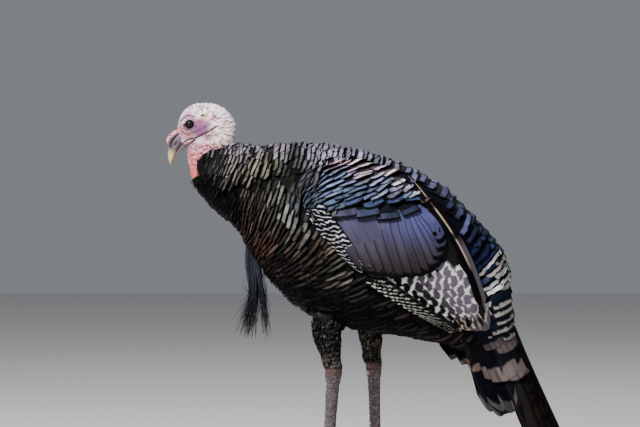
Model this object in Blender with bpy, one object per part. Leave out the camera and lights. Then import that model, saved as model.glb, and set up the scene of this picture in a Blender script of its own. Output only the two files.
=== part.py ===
"""A wild turkey gobbler standing at rest with its neck drawn in, as a still, life-size model.

The bird faces -X, its left side is towards -Y and it stands on the plane Z = 0. Distances are in
millimetres in the tables below, and MM turns them into Blender's metres. Each named piece is its own
closed solid, out to the tips of the feathers, and neighbours keep a hair-thin gap.
"""

import math

import bmesh
import bpy
from mathutils import Matrix, Vector

MM = 0.001
GAP = 0.4  # clearance left round a piece that is set into its neighbour
PLANE_GAP = 0.5  # clearance between two pieces parted by a flat cut

# Sections of the body from under the head to the tips of the tail coverts. Each row is one oval:
# its upper point (x, z), its lower point (x, z), its half width, and how square the oval is.
BODY = (
    (-226.5, 547, -296, 541, 24, 2.0),
    (-225.5, 545, -295, 516, 24, 2.0),
    (-223, 543, -289, 486, 28, 2.0),
    (-209, 544, -271.5, 444, 42, 2.0),
    (-174, 545, -219, 408, 66, 2.1),
    (-114, 546, -175, 334, 92, 2.2),
    (-41.5, 540, -106, 266, 110, 2.25),
    (43, 516.5, -32.5, 244, 112, 2.25),
    (118.5, 477, 39.5, 236, 101, 2.2),
    (174.5, 420.5, 96, 228, 80, 2.1),
    (219, 368, 144.5, 212, 60, 2.1),
    (229, 313, 178, 196, 44, 2.0),
    (234.5, 266, 204, 192, 29, 2.0),
)
NECK_END, HACKLE_END, TRUNK_END = 2.0, 4.5, 9.3  # where the body is parted, counted in sections
BODY_SEGMENTS = 24
RINGS_PER_SECTION = 1.5

# Sections of the head from the face to the back of the skull, in the same form.
HEAD = (
    (-313, 566, -311, 552, 7, 2.0),
    (-309, 585, -306, 542, 12, 2.1),
    (-300.5, 599, -298, 534, 17, 2.1),
    (-288, 607, -285, 526, 20, 2.1),
    (-272, 610, -270, 522, 21.5, 2.1),
    (-254, 609, -254, 522, 22, 2.1),
    (-237, 602, -240, 522, 20.5, 2.1),
    (-225, 590, -228, 530, 16, 2.0),
    (-217.5, 574, -219.5, 552, 8, 2.0),
)
HEAD_SEGMENTS = 20

# Upper half of the bill: a ridge that curves down into a hook. Lower half: a short scoop under it.
BILL_UPPER = (
    (-303, 566, -295, 551, 9.5, 2.0),
    (-313, 560, -301.5, 547.5, 9.0, 2.0),
    (-321, 553, -308, 540, 8.0, 2.0),
    (-326, 543.5, -312.5, 532.5, 6.6, 2.0),
    (-328.3, 532, -316.5, 524.5, 5.2, 2.0),
    (-328, 521, -319.5, 516.5, 3.4, 2.0),
    (-324.5, 510, -322.5, 509.3, 1.2, 2.0),
)
BILL_LOWER = (
    (-286, 553.6, -284.5, 545.5, 8.2, 2.0),
    (-294, 550.3, -291.5, 542, 8.1, 2.0),
    (-302, 545.6, -299.5, 537.5, 6.8, 2.0),
    (-309, 537.9, -306.5, 531.5, 4.6, 2.0),
    (-313.8, 531, -312.3, 528.8, 1.6, 2.0),
)

# The snood hangs from the forehead over the side of the bill: centre (x, y, z) and two radii.
SNOOD = (
    (-306, -1.5, 566, 4.6, 4.4),
    (-313, -4, 561.5, 4.6, 4.4),
    (-320, -7.5, 558, 4.3, 4.2),
    (-325.5, -10.5, 553.5, 3.8, 3.6),
    (-327, -12, 547.5, 3.0, 2.9),
    (-326.8, -12.5, 543, 1.6, 1.6),
)

EYE_CENTRE = (-292.2, 15.6, 575)
EYE_RADIUS = 6.4

# The beard, a tassel of bristles hanging from the breast: centre (x, y, z) and two radii.
BEARD = (
    (-190, 0, 404, 3.5, 3.5),
    (-190, 0, 392, 4.0, 4.0),
    (-191, 0, 372, 9.0, 6.5),
    (-189, 0, 345, 13.5, 9.0),
    (-185, 0, 312, 14.0, 10.0),
    (-186, 0, 278, 13.0, 10.0),
    (-190, 0, 248, 11.0, 8.0),
    (-196, 0, 229, 4.0, 3.5),
)

# The folded wing seen from its side, from its bend to its tip: upper edge (x, z), lower edge (x, z),
# and how far its middle stands out from the body. It lies against the body and is sunk a little into it.
WING = (
    (-118, 490, -116, 469, 4),
    (-99, 508, -101, 440, 10),
    (-64, 522, -68, 392, 14),
    (-14, 521, -28, 350, 15),
    (38, 498, 12, 322, 15),
    (78, 466, 46, 300, 14),
    (109, 425, 81, 278, 12),
    (139, 376, 113, 258, 10),
    (163, 327, 150, 246, 8),
    (184, 275, 181, 245, 6),
)
WING_PART = 6  # where the arm with its coverts is parted from the flight feathers
WING_COLUMNS, WING_RINGS = 6, 1
WING_SUNK = 5
WING_INMOST = 38  # the wing stays about this far from the middle of the bird or further
WING_EDGE = 1.5  # how far the wing's edges stand out from the body

# The tail hangs folded like a roof. The middle feathers ride over the outer ones of each side.
# Ridge (x, z), eave (x, z), half width at the eaves, thickness.
TAIL_ROOF = (
    (203, 300, 182, 262, 24, 5),
    (227, 254, 198, 216, 29, 6),
    (247, 205, 214, 170, 33, 6),
    (268, 157, 231, 128, 35, 6),
    (290, 110, 248, 84, 35, 5),
    (310, 68, 267, 48, 31, 4),
    (325, 36, 291, 27, 23, 2.5),
)
ROOF_COLUMNS = 8
# Outer feathers of the left side: inner edge (x, y, z), outer edge (x, y, z), bulge, thickness.
TAIL_SIDE = (
    (178, -12, 256, 152, -38, 226, 2, 5),
    (198, -14, 219, 160, -47, 190, 3, 6),
    (219, -15, 172, 174, -54, 152, 4, 6),
    (234, -16, 135, 188, -57, 127, 4, 5),
    (242, -18, 112, 212, -50, 106, 2, 2.5),
)
SIDE_COLUMNS = 4

# Legs. The left one is set forward. Each row is a centre (x, out from the middle, z), the
# fore-and-aft half width and the sideways half width. LEG_SIDE is how far out the shanks stand.
LEG_SIDE = 58
LEFT_THIGH = (
    (-62, 48, 300, 34, 20),
    (-70, 52, 264, 34, 27),
    (-70, 56, 238, 26, 22),
    (-65, 58, 212, 20, 17),
    (-62, 58, 195, 16, 13),
    (-60, 58, 184, 13.5, 11),
)
RIGHT_THIGH = (
    (8, 48, 300, 34, 20),
    (0, 52, 264, 30, 27),
    (1, 56, 238, 22.5, 22),
    (4, 58, 212, 19, 17),
    (4, 58, 195, 16, 13),
    (6, 58, 184, 13, 11),
)
# Down a shank: share of its length, fore-and-aft half width, sideways half width.
SHANK = (
    (0.00, 10.0, 8.5),
    (0.06, 14.2, 10.5),
    (0.13, 13.6, 10.0),
    (0.22, 10.8, 8.2),
    (0.50, 9.8, 7.0),
    (0.80, 9.6, 7.0),
    (0.93, 11.5, 8.8),
    (1.00, 11.0, 9.0),
)
SHANK_TOP = {"left": (-58, 194), "right": (7, 194)}
SHANK_FOOT = {"left": (-70, 17), "right": (11, 17)}
SHANK_TURN = {"left": 6.0, "right": 24.0}  # degrees that the leg is turned out
SPUR_HEIGHT, SPUR_LENGTH, SPUR_RADIUS = 62, 19, 5.0

# Toes: heading from straight ahead, length without the claw, radius at the root and at the end.
TOES = {
    "middle": (0.0, 78.0, 8.2, 5.2),
    "inner": (36.0, 52.0, 7.4, 4.8),
    "outer": (-34.0, 55.0, 7.4, 4.8),
    "hind": (172.0, 26.0, 5.4, 4.0),
}
CLAW_LENGTH = {"middle": 17.0, "inner": 14.0, "outer": 14.0, "hind": 12.0}
SOLE_PRESS = 1.4  # how deep a toe's underside is pressed flat on the ground

COLOURS = {  # base colour, roughness, metallic
    "skin_white": ((0.80, 0.72, 0.72), 0.55, 0.0),
    "skin_red": ((0.72, 0.36, 0.34), 0.5, 0.0),
    "plumage": ((0.055, 0.042, 0.036), 0.38, 0.35),
    "coverts": ((0.10, 0.11, 0.16), 0.36, 0.35),
    "flight": ((0.30, 0.29, 0.27), 0.5, 0.0),
    "tail": ((0.06, 0.045, 0.04), 0.45, 0.1),
    "thigh": ((0.12, 0.105, 0.10), 0.6, 0.0),
    "leg": ((0.42, 0.27, 0.28), 0.5, 0.0),
    "horn": ((0.62, 0.50, 0.33), 0.35, 0.0),
    "claw": ((0.12, 0.09, 0.08), 0.35, 0.0),
    "eye": ((0.015, 0.010, 0.008), 0.08, 0.0),
    "beard": ((0.02, 0.02, 0.022), 0.4, 0.0),
}


def clear_scene():
    for obj in list(bpy.data.objects):
        bpy.data.objects.remove(obj)


def material(slot):
    """The Principled material of a slot, made once."""
    found = bpy.data.materials.get(slot)
    if found:
        return found
    colour, roughness, metallic = COLOURS[slot]
    made = bpy.data.materials.new(slot)
    made.use_nodes = True
    shader = made.node_tree.nodes["Principled BSDF"]
    shader.inputs["Base Color"].default_value = (*colour, 1.0)
    shader.inputs["Roughness"].default_value = roughness
    shader.inputs["Metallic"].default_value = metallic
    made.diffuse_color = (*colour, 1.0)
    return made


def sample(rows, place):
    """The row at a fractional place in a table, on a smooth curve through the rows."""
    last = len(rows) - 1
    index = min(int(place), last - 1)
    t = place - index
    before, after = rows[max(index - 1, 0)], rows[min(index + 2, last)]
    start, end = rows[index], rows[index + 1]
    return tuple(
        0.5
        * (
            2 * b
            + (c - a) * t
            + (2 * a - 5 * b + 4 * c - d) * t * t
            + (3 * b - a - 3 * c + d) * t**3
        )
        for a, b, c, d in zip(before, start, end, after)
    )


def places(start, end, per_row, trim=0.0):
    """Evenly spaced places from start to end, about per_row to each row. The last is trimmed back."""
    count = max(2, math.ceil((end - start) * per_row) + 1)
    line = [start + (end - start) * i / (count - 1) for i in range(count)]
    line[-1] -= trim
    return line


def rounded(value, squareness):
    """A sine or cosine made fuller, so that an oval grows squarer shoulders."""
    return math.copysign(abs(value) ** (2 / squareness), value)


def solid(name, rings, slot, cutter=False):
    """A closed mesh skinned over rings of points, in millimetres. Both ends are closed by a fan."""
    mesh = bmesh.new()
    rows = [[mesh.verts.new(Vector(p) * MM) for p in ring] for ring in rings]
    count = len(rows[0])
    for row, after in zip(rows, rows[1:]):
        for i in range(count):
            j = (i + 1) % count
            mesh.faces.new((row[i], row[j], after[j]))
            mesh.faces.new((row[i], after[j], after[i]))
    for row in (rows[0], rows[-1]):
        middle = mesh.verts.new(sum((v.co for v in row), Vector()) / count)
        for i in range(count):
            mesh.faces.new((row[i], row[(i + 1) % count], middle))
    bmesh.ops.recalc_face_normals(mesh, faces=mesh.faces)
    if mesh.calc_volume(signed=True) < 0:
        bmesh.ops.reverse_faces(mesh, faces=mesh.faces)
    data = bpy.data.meshes.new(name)
    mesh.to_mesh(data)
    mesh.free()
    data.materials.append(material(slot))
    data.shade_smooth()
    obj = bpy.data.objects.new(name, data)
    bpy.context.scene.collection.objects.link(obj)
    if cutter:
        obj.hide_render = True
        obj.display_type = "WIRE"
    return obj


def boolean(obj, other, operation="DIFFERENCE"):
    modifier = obj.modifiers.new(f"{operation.lower()}_{other.name}", "BOOLEAN")
    modifier.operation = operation
    modifier.solver = "EXACT"
    modifier.object = other
    other.hide_render = True
    other.display_type = "WIRE"


def oval_ring(row, segments, grow=0.0):
    """One oval of BODY, HEAD or a bill half, as points in the plane through its upper and lower point."""
    top_x, top_z, low_x, low_z, half_width, squareness = row
    centre = Vector((top_x + low_x, 0, top_z + low_z)) / 2
    upward = Vector((top_x - low_x, 0, top_z - low_z)) / 2
    upward *= 1 + grow / upward.length
    sideways = Vector((0, half_width + grow, 0))
    angles = [2 * math.pi * i / segments for i in range(segments)]
    return [
        centre
        + upward * rounded(math.cos(a), squareness)
        + sideways * rounded(math.sin(a), squareness)
        for a in angles
    ]


def oval_solid(name, table, slot, segments, start=0.0, end=None, per_row=RINGS_PER_SECTION, grow=0.0):
    """A stretch of a table of ovals as a solid. When grown, it also reaches further at both ends."""
    end = len(table) - 1 if end is None else end
    rings = [oval_ring(sample(table, p), segments, grow) for p in places(start, end, per_row)]
    if grow:
        for at, beside in ((0, 1), (-1, -2)):
            outward = centre_of(rings[at]) - centre_of(rings[beside])
            rings[at] = [p + outward.normalized() * grow for p in rings[at]]
    return solid(name, rings, slot, cutter=grow > 0)


def centre_of(ring):
    return sum((Vector(p) for p in ring), Vector()) / len(ring)


def limb_rings(rows, segments, forward, grow=0.0):
    """Rings round a line of centres. Each row is (x, y, z, radius along forward, radius across it)."""
    centres = [Vector(row[:3]) for row in rows]
    rings = []
    for i, row in enumerate(rows):
        along = (centres[min(i + 1, len(rows) - 1)] - centres[max(i - 1, 0)]).normalized()
        across = forward.cross(along).normalized()
        ahead = along.cross(across).normalized()
        centre = centres[i]
        if grow and i in (0, len(rows) - 1):
            centre = centre + along * (grow if i else -grow)
        angles = [2 * math.pi * k / segments for k in range(segments)]
        rings.append(
            [
                centre + ahead * (row[3] + grow) * math.cos(a) + across * (row[4] + grow) * math.sin(a)
                for a in angles
            ]
        )
    return rings


def smooth_rows(table, per_row):
    return [sample(table, p) for p in places(0, len(table) - 1, per_row)]


def mirrored(rings):
    return [[Vector((p[0], -p[1], p[2])) for p in ring] for ring in rings]


def body_half_width(x, z):
    """Half width of the body at a point of its side view."""

    def side_of(place):
        top_x, top_z, low_x, low_z = sample(BODY, place)[:4]
        return (low_x - top_x) * (z - top_z) - (low_z - top_z) * (x - top_x)

    low, high = 0.0, len(BODY) - 1.0
    for _ in range(24):
        middle = (low + high) / 2
        low, high = (middle, high) if side_of(middle) * side_of(0.0) > 0 else (low, middle)
    top_x, top_z, low_x, low_z, half_width, squareness = sample(BODY, low)
    top, bottom = Vector((top_x, top_z)), Vector((low_x, low_z))
    reach = (Vector((x, z)) - (top + bottom) / 2).length / ((top - bottom).length / 2)
    return half_width * max(0.0, 1 - reach**squareness) ** (1 / squareness)


def wing_rings(side, start, end, trim=0.0, grow=0.0):
    """Rings round the folded wing, which lies on the body's side and is thickest along its middle."""
    sign = -1 if side == "left" else 1
    line = places(start, end, WING_RINGS, trim)
    rings = []
    for i, place in enumerate(line):
        upper_x, upper_z, lower_x, lower_z, thickness = sample(WING, place)
        upper, lower = Vector((upper_x, upper_z)), Vector((lower_x, lower_z))
        width = (lower - upper).normalized()
        if grow and i in (0, len(line) - 1):
            onward = Vector((-width.y, width.x)) * (grow if i else -grow)
            upper, lower = upper + onward, lower + onward
        outer, inner = [], []
        for k in range(WING_COLUMNS + 1):
            v = k / WING_COLUMNS
            x, z = upper.lerp(lower, v) + width * grow * (2 * v - 1)
            lying = (body_half_width(x, z) ** 3 + WING_INMOST**3) ** (1 / 3)
            proud = WING_EDGE + (thickness - WING_EDGE) * math.sqrt(max(0.0, 1 - (2 * v - 1) ** 2))
            outer.append(Vector((x, sign * (lying + proud + grow), z)))
            inner.append(Vector((x, sign * (lying - WING_SUNK - grow), z)))
        rings.append(outer + inner[::-1])
    return rings


def blade_rings(table, line, columns, grow=0.0):
    """Rings round a thin curved blade. A row gives both edges, the bulge between them and the thickness."""
    rings = []
    for i, place in enumerate(line):
        row = sample(table, place)
        upper, lower, bulge, thickness = Vector(row[0:3]), Vector(row[3:6]), row[6], row[7]
        ahead = sample(table, min(place + 0.25, len(table) - 1))
        behind = sample(table, max(place - 0.25, 0))
        along = Vector(ahead[0:3]) + Vector(ahead[3:6]) - Vector(behind[0:3]) - Vector(behind[3:6])
        normal = along.cross(lower - upper).normalized()
        width = (lower - upper).normalized()
        outer, inner = [], []
        for k in range(columns + 1):
            v = k / columns
            middle = upper.lerp(lower, v) + normal * bulge * 4 * v * (1 - v)
            middle += width * grow * (2 * v - 1)
            fullness = max(0.25, math.sqrt(max(0.0, 1 - (2 * v - 1) ** 2)))
            half = thickness / 2 * fullness + grow
            outer.append(middle + normal * half)
            inner.append(middle - normal * half)
        ring = outer + inner[::-1]
        if grow and i in (0, len(line) - 1):
            ring = [p + along.normalized() * (grow if i else -grow) for p in ring]
        rings.append(ring)
    return rings


def roof_rings(table, columns, per_row, grow=0.0):
    """Rings of a folded tail: an arch from eave to eave over the ridge, with a thin wall."""
    rings = []
    rows = smooth_rows(table, per_row)
    for i, (ridge_x, ridge_z, eave_x, eave_z, half_width, thickness) in enumerate(rows):
        ridge, eave = Vector((ridge_x, 0, ridge_z)), Vector((eave_x, 0, eave_z))
        down = eave - ridge
        outer, inner = [], []
        for k in range(columns + 1):
            swing = math.pi * (k / columns - 0.5)
            reach, drop = math.sin(swing), 1 - math.cos(swing)
            wall = thickness / 2 + grow
            for line, sign in ((outer, 1), (inner, -1)):
                side = (half_width + sign * wall) * reach
                sunk = down * drop - down.normalized() * sign * wall * math.cos(swing)
                line.append(ridge + sunk + Vector((0, side, 0)))
        for line in (outer, inner):
            for k in (0, columns):
                line[k] = line[k] + down.normalized() * grow
        ring = outer + inner[::-1]
        if grow and i in (0, len(rows) - 1):
            along = Vector((rows[-1][0] - rows[0][0], 0, rows[-1][1] - rows[0][1])).normalized()
            ring = [p + along * (grow if i else -grow) for p in ring]
        rings.append(ring)
    return rings


def slab_below(name, row, thickness):
    """A flat box whose top lies in the plane of one body section, used to cut the head off the neck."""
    top_x, top_z, low_x, low_z = row[:4]
    centre = Vector((top_x + low_x, 0, top_z + low_z)) / 2
    forward = Vector((low_x - top_x, 0, low_z - top_z)).normalized()
    down = Vector((forward.z, 0, -forward.x))
    if down.z > 0:
        down = -down
    half, side = forward * 90, Vector((0, 60, 0))
    near = centre - down * PLANE_GAP
    rings = [
        [start + half + side, start + half - side, start - half - side, start - half + side]
        for start in (near, near + down * thickness)
    ]
    return solid(name, rings, "skin_white", cutter=True)


def build_beard(grow=0.0):
    rings = limb_rings(smooth_rows(BEARD, 1), 10, Vector((-1, 0, 0)), grow)
    return solid("beard_cutter" if grow else "beard", rings, "beard", cutter=grow > 0)


def build_eye(side, grow=0.0):
    sign = -1 if side == "left" else 1
    mesh = bmesh.new()
    bmesh.ops.create_icosphere(mesh, subdivisions=2, radius=(EYE_RADIUS + grow) * MM)
    name = f"eye_{side}_cutter" if grow else f"eye_{side}"
    data = bpy.data.meshes.new(name)
    mesh.to_mesh(data)
    mesh.free()
    data.materials.append(material("eye"))
    data.shade_smooth()
    obj = bpy.data.objects.new(name, data)
    obj.location = Vector((EYE_CENTRE[0], sign * EYE_CENTRE[1], EYE_CENTRE[2])) * MM
    bpy.context.scene.collection.objects.link(obj)
    return obj


def build_head():
    """The head with sockets for the eyes, the bill halves and the snood, cut flat where the neck begins."""
    head = oval_solid("head", HEAD, "skin_white", HEAD_SEGMENTS, per_row=1.5)
    oval_solid("bill_upper", BILL_UPPER, "horn", 12, per_row=1.5)
    lower = oval_solid("bill_lower", BILL_LOWER, "horn", 10, per_row=1.5)
    upper_cutter = oval_solid("bill_upper_cutter", BILL_UPPER, "horn", 12, per_row=1.5, grow=GAP)
    lower_cutter = oval_solid("bill_lower_cutter", BILL_LOWER, "horn", 10, per_row=1.5, grow=GAP)
    boolean(lower, upper_cutter)
    snood = limb_rings(smooth_rows(SNOOD, 1.5), 8, Vector((0, 0, 1)))
    snood = solid("snood", snood, "skin_red")
    boolean(snood, upper_cutter)
    snood_cutter = limb_rings(smooth_rows(SNOOD, 1.5), 8, Vector((0, 0, 1)), GAP)
    snood_cutter = solid("snood_cutter", snood_cutter, "skin_red", cutter=True)
    boolean(head, slab_below("neck_slab", BODY[0], 60))
    for cutter in (upper_cutter, lower_cutter, snood_cutter):
        boolean(head, cutter)
    for side in ("left", "right"):
        build_eye(side)
        boolean(head, build_eye(side, GAP))


def build_wing(side):
    """The folded wing in two solids: the arm under its coverts, and the flight feathers behind it."""
    last, step = len(WING) - 1, PLANE_GAP / 45
    solid(f"wing_{side}", wing_rings(side, 0, WING_PART, step), "coverts")
    solid(f"flight_feathers_{side}", wing_rings(side, WING_PART, last), "flight")
    return solid(f"wing_{side}_cutter", wing_rings(side, 0, last, grow=GAP), "coverts", cutter=True)


def build_tail():
    """The middle tail feathers and the outer ones of each side. Returns the cutters for the rump."""
    solid("tail_middle", roof_rings(TAIL_ROOF, ROOF_COLUMNS, 1), "tail")
    roof_cutter = roof_rings(TAIL_ROOF, ROOF_COLUMNS, 1, GAP)
    cutters = [solid("tail_middle_cutter", roof_cutter, "tail", cutter=True)]
    line = places(0, len(TAIL_SIDE) - 1, 1.5)
    for side in ("left", "right"):
        rings = [blade_rings(TAIL_SIDE, line, SIDE_COLUMNS, grow) for grow in (0.0, GAP)]
        if side == "right":
            rings = [mirrored(r) for r in rings]
        outer = solid(f"tail_outer_{side}", rings[0], "tail")
        boolean(outer, cutters[0])
        cutters.append(solid(f"tail_outer_{side}_cutter", rings[1], "tail", cutter=True))
    return cutters


def leg_frame(side):
    """Forward and sideways directions of a leg, turned out as it stands."""
    sign = -1 if side == "left" else 1
    turn = Matrix.Rotation(math.radians(-sign * SHANK_TURN[side]), 3, "Z")
    return turn @ Vector((-1, 0, 0)), sign


def build_thigh(side, grow=0.0):
    table = LEFT_THIGH if side == "left" else RIGHT_THIGH
    _, sign = leg_frame(side)
    rows = [(x, sign * y, z, ahead, across) for x, y, z, ahead, across in smooth_rows(table, 1)]
    name = f"thigh_{side}_cutter" if grow else f"thigh_{side}"
    return solid(name, limb_rings(rows, 14, Vector((-1, 0, 0)), grow), "thigh", cutter=grow > 0)


def shank_line(side, share):
    top, foot = SHANK_TOP[side], SHANK_FOOT[side]
    x, z = (a + (b - a) * share for a, b in zip(top, foot))
    return x, (-1 if side == "left" else 1) * LEG_SIDE, z


def build_shank(side, grow=0.0):
    forward, _ = leg_frame(side)
    rows = [(*shank_line(side, s), ahead, across) for s, ahead, across in smooth_rows(SHANK, 1)]
    name = f"shank_{side}_cutter" if grow else f"shank_{side}"
    return solid(name, limb_rings(rows, 12, forward, grow), "leg", cutter=grow > 0)


def toe_rows(side, toe, start, end):
    """Centres and radii along a toe, which arches down from the ankle and lies on the ground."""
    heading, length, root, tip = TOES[toe]
    forward, sign = leg_frame(side)
    ahead = Matrix.Rotation(math.radians(-sign * heading), 3, "Z") @ forward
    ankle = Vector((*shank_line(side, 1)[:2], 0))
    rows = []
    for share in places(start, end, 6):
        radius = root + (tip - root) * share
        knuckle = 1 + 0.10 * math.cos(6 * math.pi * share)
        lift = 7.0 * max(0.0, 1 - 4 * share) ** 2
        centre = ankle + ahead * length * share
        rows.append((centre.x, centre.y, radius * knuckle - SOLE_PRESS + lift, radius * knuckle, radius * knuckle))
    return rows, ahead


def claw_rows(side, toe):
    """A claw that leaves the toe's end, arches and points down at the ground."""
    rows, ahead = toe_rows(side, toe, 0.90, 1.0)
    start = Vector(rows[-1][:3])
    length, radius = CLAW_LENGTH[toe], TOES[toe][3] * 0.82
    made = []
    for share in (-0.12, 0.15, 0.4, 0.65, 0.85, 1.0):
        thick = radius * max(0.12, 1 - max(share, 0.0)) ** 0.75
        drop = (start.z - 0.9) * max(share, 0.0) ** 2
        centre = start + ahead * length * share + Vector((0, 0, 0.8 - drop + 0.2 * thick))
        made.append((*centre, max(thick, 0.6), max(thick * 0.8, 0.5)))
    return made


def ground_slab():
    """The ground as a cutter, which leaves the soles flat."""
    corners = ((-300, -200), (300, -200), (300, 200), (-300, 200))
    rings = [[(x, y, z) for x, y in corners] for z in (-30, 0)]
    return solid("ground", rings, "leg", cutter=True)


def build_foot(side, ground):
    """Four toes joined at the ankle, with a claw of its own on each, and the spur on the shank."""
    up = Vector((0, 0, 1))
    toes = []
    for toe in TOES:
        rows, _ = toe_rows(side, toe, 0.0, 1.0)
        toes.append(solid(f"{toe}_toe_{side}", limb_rings(rows, 9, up), "leg"))
    x, y, _ = shank_line(side, 1)
    ankle = [(x, y, z, r, r * 0.86) for z, r in ((1.5, 8.0), (5.0, 11.0), (10.0, 12.0), (15.0, 11.2), (19.0, 9.0))]
    foot = solid(f"foot_{side}", limb_rings(ankle, 12, leg_frame(side)[0]), "leg")
    for toe in toes:
        boolean(foot, toe, "UNION")
    boolean(foot, ground)
    boolean(foot, build_shank(side, GAP))
    for toe in TOES:
        rings = limb_rings(claw_rows(side, toe), 8, up)
        solid(f"claw_{toe}_{side}", rings, "claw")
        grown = limb_rings(claw_rows(side, toe), 8, up, GAP)
        boolean(foot, solid(f"claw_{toe}_{side}_cutter", grown, "claw", cutter=True))


def build_spur(side, shank_cutter):
    forward, sign = leg_frame(side)
    top, foot = SHANK_TOP[side][1], SHANK_FOOT[side][1]
    x, y, z = shank_line(side, (top - SPUR_HEIGHT) / (top - foot))
    inward = Vector((0, -sign, 0))
    aim = (-forward * 0.8 + inward * 0.5 + Vector((0, 0, 0.12))).normalized()
    start = Vector((x, y, z)) + aim * 3
    rows = []
    for share in (0.0, 0.3, 0.6, 0.85, 1.0):
        centre = start + aim * (SPUR_LENGTH + 6) * share + Vector((0, 0, 5 * share**2))
        radius = SPUR_RADIUS * max(0.12, 1 - share**1.3)
        rows.append((*centre, radius, radius))
    spur = solid(f"spur_{side}", limb_rings(rows, 10, Vector((0, 0, 1))), "claw")
    boolean(spur, shank_cutter)


def build_legs(trunk):
    ground = ground_slab()
    for side in ("left", "right"):
        thigh = build_thigh(side)
        build_shank(side)
        shank_cutter = build_shank(side, GAP)
        shank_cutter.name = f"shank_{side}_top_cutter"
        boolean(thigh, shank_cutter)
        boolean(trunk, build_thigh(side, GAP))
        build_foot(side, ground)
        build_spur(side, shank_cutter)


def build():
    clear_scene()
    build_head()
    step = PLANE_GAP / 60
    neck = oval_solid("neck", BODY, "skin_red", BODY_SEGMENTS, 0.0, NECK_END - step)
    boolean(neck, bpy.data.objects["bill_lower_cutter"])
    hackle = oval_solid("lower_neck", BODY, "plumage", BODY_SEGMENTS, NECK_END, HACKLE_END - step)
    trunk = oval_solid("trunk", BODY, "plumage", BODY_SEGMENTS, HACKLE_END, TRUNK_END - step)
    rump = oval_solid("rump", BODY, "plumage", BODY_SEGMENTS, TRUNK_END)
    build_beard()
    beard_cutter = build_beard(GAP)
    boolean(hackle, beard_cutter)
    boolean(trunk, beard_cutter)
    for side in ("left", "right"):
        cutter = build_wing(side)
        boolean(trunk, cutter)
        boolean(rump, cutter)
    for cutter in build_tail():
        boolean(rump, cutter)
        boolean(trunk, cutter)
    build_legs(trunk)


build()
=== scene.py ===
"""Looks of the wild turkey gobbler: one skin under a coat of feather vanes, quills, beard and horn.

The bird faces -X and its left side, towards the camera, is at -Y. Sizes in the tables are in
millimetres and are turned into metres with MM. Every feather is solid mesh laid over the skin.
"""

import math

import bmesh
import bpy
import numpy as np
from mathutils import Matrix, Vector
from mathutils.bvhtree import BVHTree
from mathutils.kdtree import KDTree


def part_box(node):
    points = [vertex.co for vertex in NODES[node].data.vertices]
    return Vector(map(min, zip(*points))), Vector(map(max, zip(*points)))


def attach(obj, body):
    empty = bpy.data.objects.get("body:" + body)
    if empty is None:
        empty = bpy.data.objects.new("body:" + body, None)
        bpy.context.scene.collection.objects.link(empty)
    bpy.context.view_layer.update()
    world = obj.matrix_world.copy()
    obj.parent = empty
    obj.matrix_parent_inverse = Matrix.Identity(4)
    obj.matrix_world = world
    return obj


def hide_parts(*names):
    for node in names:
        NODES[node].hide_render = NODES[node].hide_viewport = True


MM = 0.001
SIDES = (("left", -1.0), ("right", 1.0))
FLESH = (
    "head neck lower_neck trunk rump wing_left wing_right thigh_left thigh_right "
    "shank_left shank_right foot_left foot_right eye_left eye_right"
).split()
SKIN_NODES = [n for n in FLESH if not n.startswith("eye")]
VOXEL = 2.2 * MM
SKIN_SWELL = 0.8 * MM  # bridges the hair-thin gaps between the solids before they are joined

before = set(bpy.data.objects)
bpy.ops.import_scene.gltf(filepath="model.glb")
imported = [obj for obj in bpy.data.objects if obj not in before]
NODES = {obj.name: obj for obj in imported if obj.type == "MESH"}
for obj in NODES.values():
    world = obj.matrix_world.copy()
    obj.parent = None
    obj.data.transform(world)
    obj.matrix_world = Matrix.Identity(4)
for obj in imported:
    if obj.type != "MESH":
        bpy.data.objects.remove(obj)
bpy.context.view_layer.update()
FAR = 0.4  # metres, well outside the bird
rng = np.random.default_rng(11)


# ---------------------------------------------------------------- small helpers


def unit(v):
    return v / np.maximum(np.linalg.norm(v, axis=-1, keepdims=True), 1e-9)


def laid(way, normal):
    """Directions turned into the surface."""
    return unit(way - normal * (way * normal).sum(1, keepdims=True))


def step(low, high, x):
    t = np.clip((x - low) / (high - low), 0.0, 1.0)
    return t * t * (3 - 2 * t)


def mix(a, b, t):
    return a + (b - a) * t


def colour(*rgb):
    return np.array(rgb, float)


def with_gloss(rgb, gloss):
    return np.concatenate((rgb, np.broadcast_to(gloss, rgb.shape[:-1])[..., None]), axis=-1)


def hashed(ix, iy, iz, seed):
    h = (ix * 73856093) ^ (iy * 19349663) ^ (iz * 83492791) ^ (seed * 2654435761)
    h = (h ^ (h >> 13)) * 1274126177
    return ((h ^ (h >> 16)) & 0xFFFF) / 65535.0


def noise(p, scale, seed=0):
    """Smooth value noise from 0 to 1 at points p, with cells of that size."""
    q = np.asarray(p, float) / scale
    base = np.floor(q).astype(np.int64)
    f = q - base
    f = f * f * (3 - 2 * f)
    total = 0.0
    for corner in np.ndindex(2, 2, 2):
        x, y, z = (f[..., k] if corner[k] else 1 - f[..., k] for k in range(3))
        total = total + x * y * z * hashed(*(base[..., k] + corner[k] for k in range(3)), seed)
    return total


def grain(a, b, c, seed):
    """Noise over three coordinates, each a number or an array."""
    return noise(np.stack(np.broadcast_arrays(a, b, c), -1), 1.0, seed)


def node_arrays(name):
    """Vertices and triangles of a CAD node, with its doubled vertices merged."""
    work = bmesh.new()
    work.from_mesh(NODES[name].data)
    bmesh.ops.remove_doubles(work, verts=work.verts, dist=1e-6)
    bmesh.ops.triangulate(work, faces=work.faces)
    verts = np.array([v.co for v in work.verts], float)
    faces = np.array([[v.index for v in f.verts] for f in work.faces], int)
    work.free()
    return verts, faces


def grown(verts, faces, amount):
    """Vertices of a solid, pushed out along its normals."""
    a, b, c = (verts[faces[:, k]] for k in range(3))
    flat = np.cross(b - a, c - a)
    normal = np.zeros_like(verts)
    for k in range(3):
        np.add.at(normal, faces[:, k], flat)
    return verts + unit(normal) * amount


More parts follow.
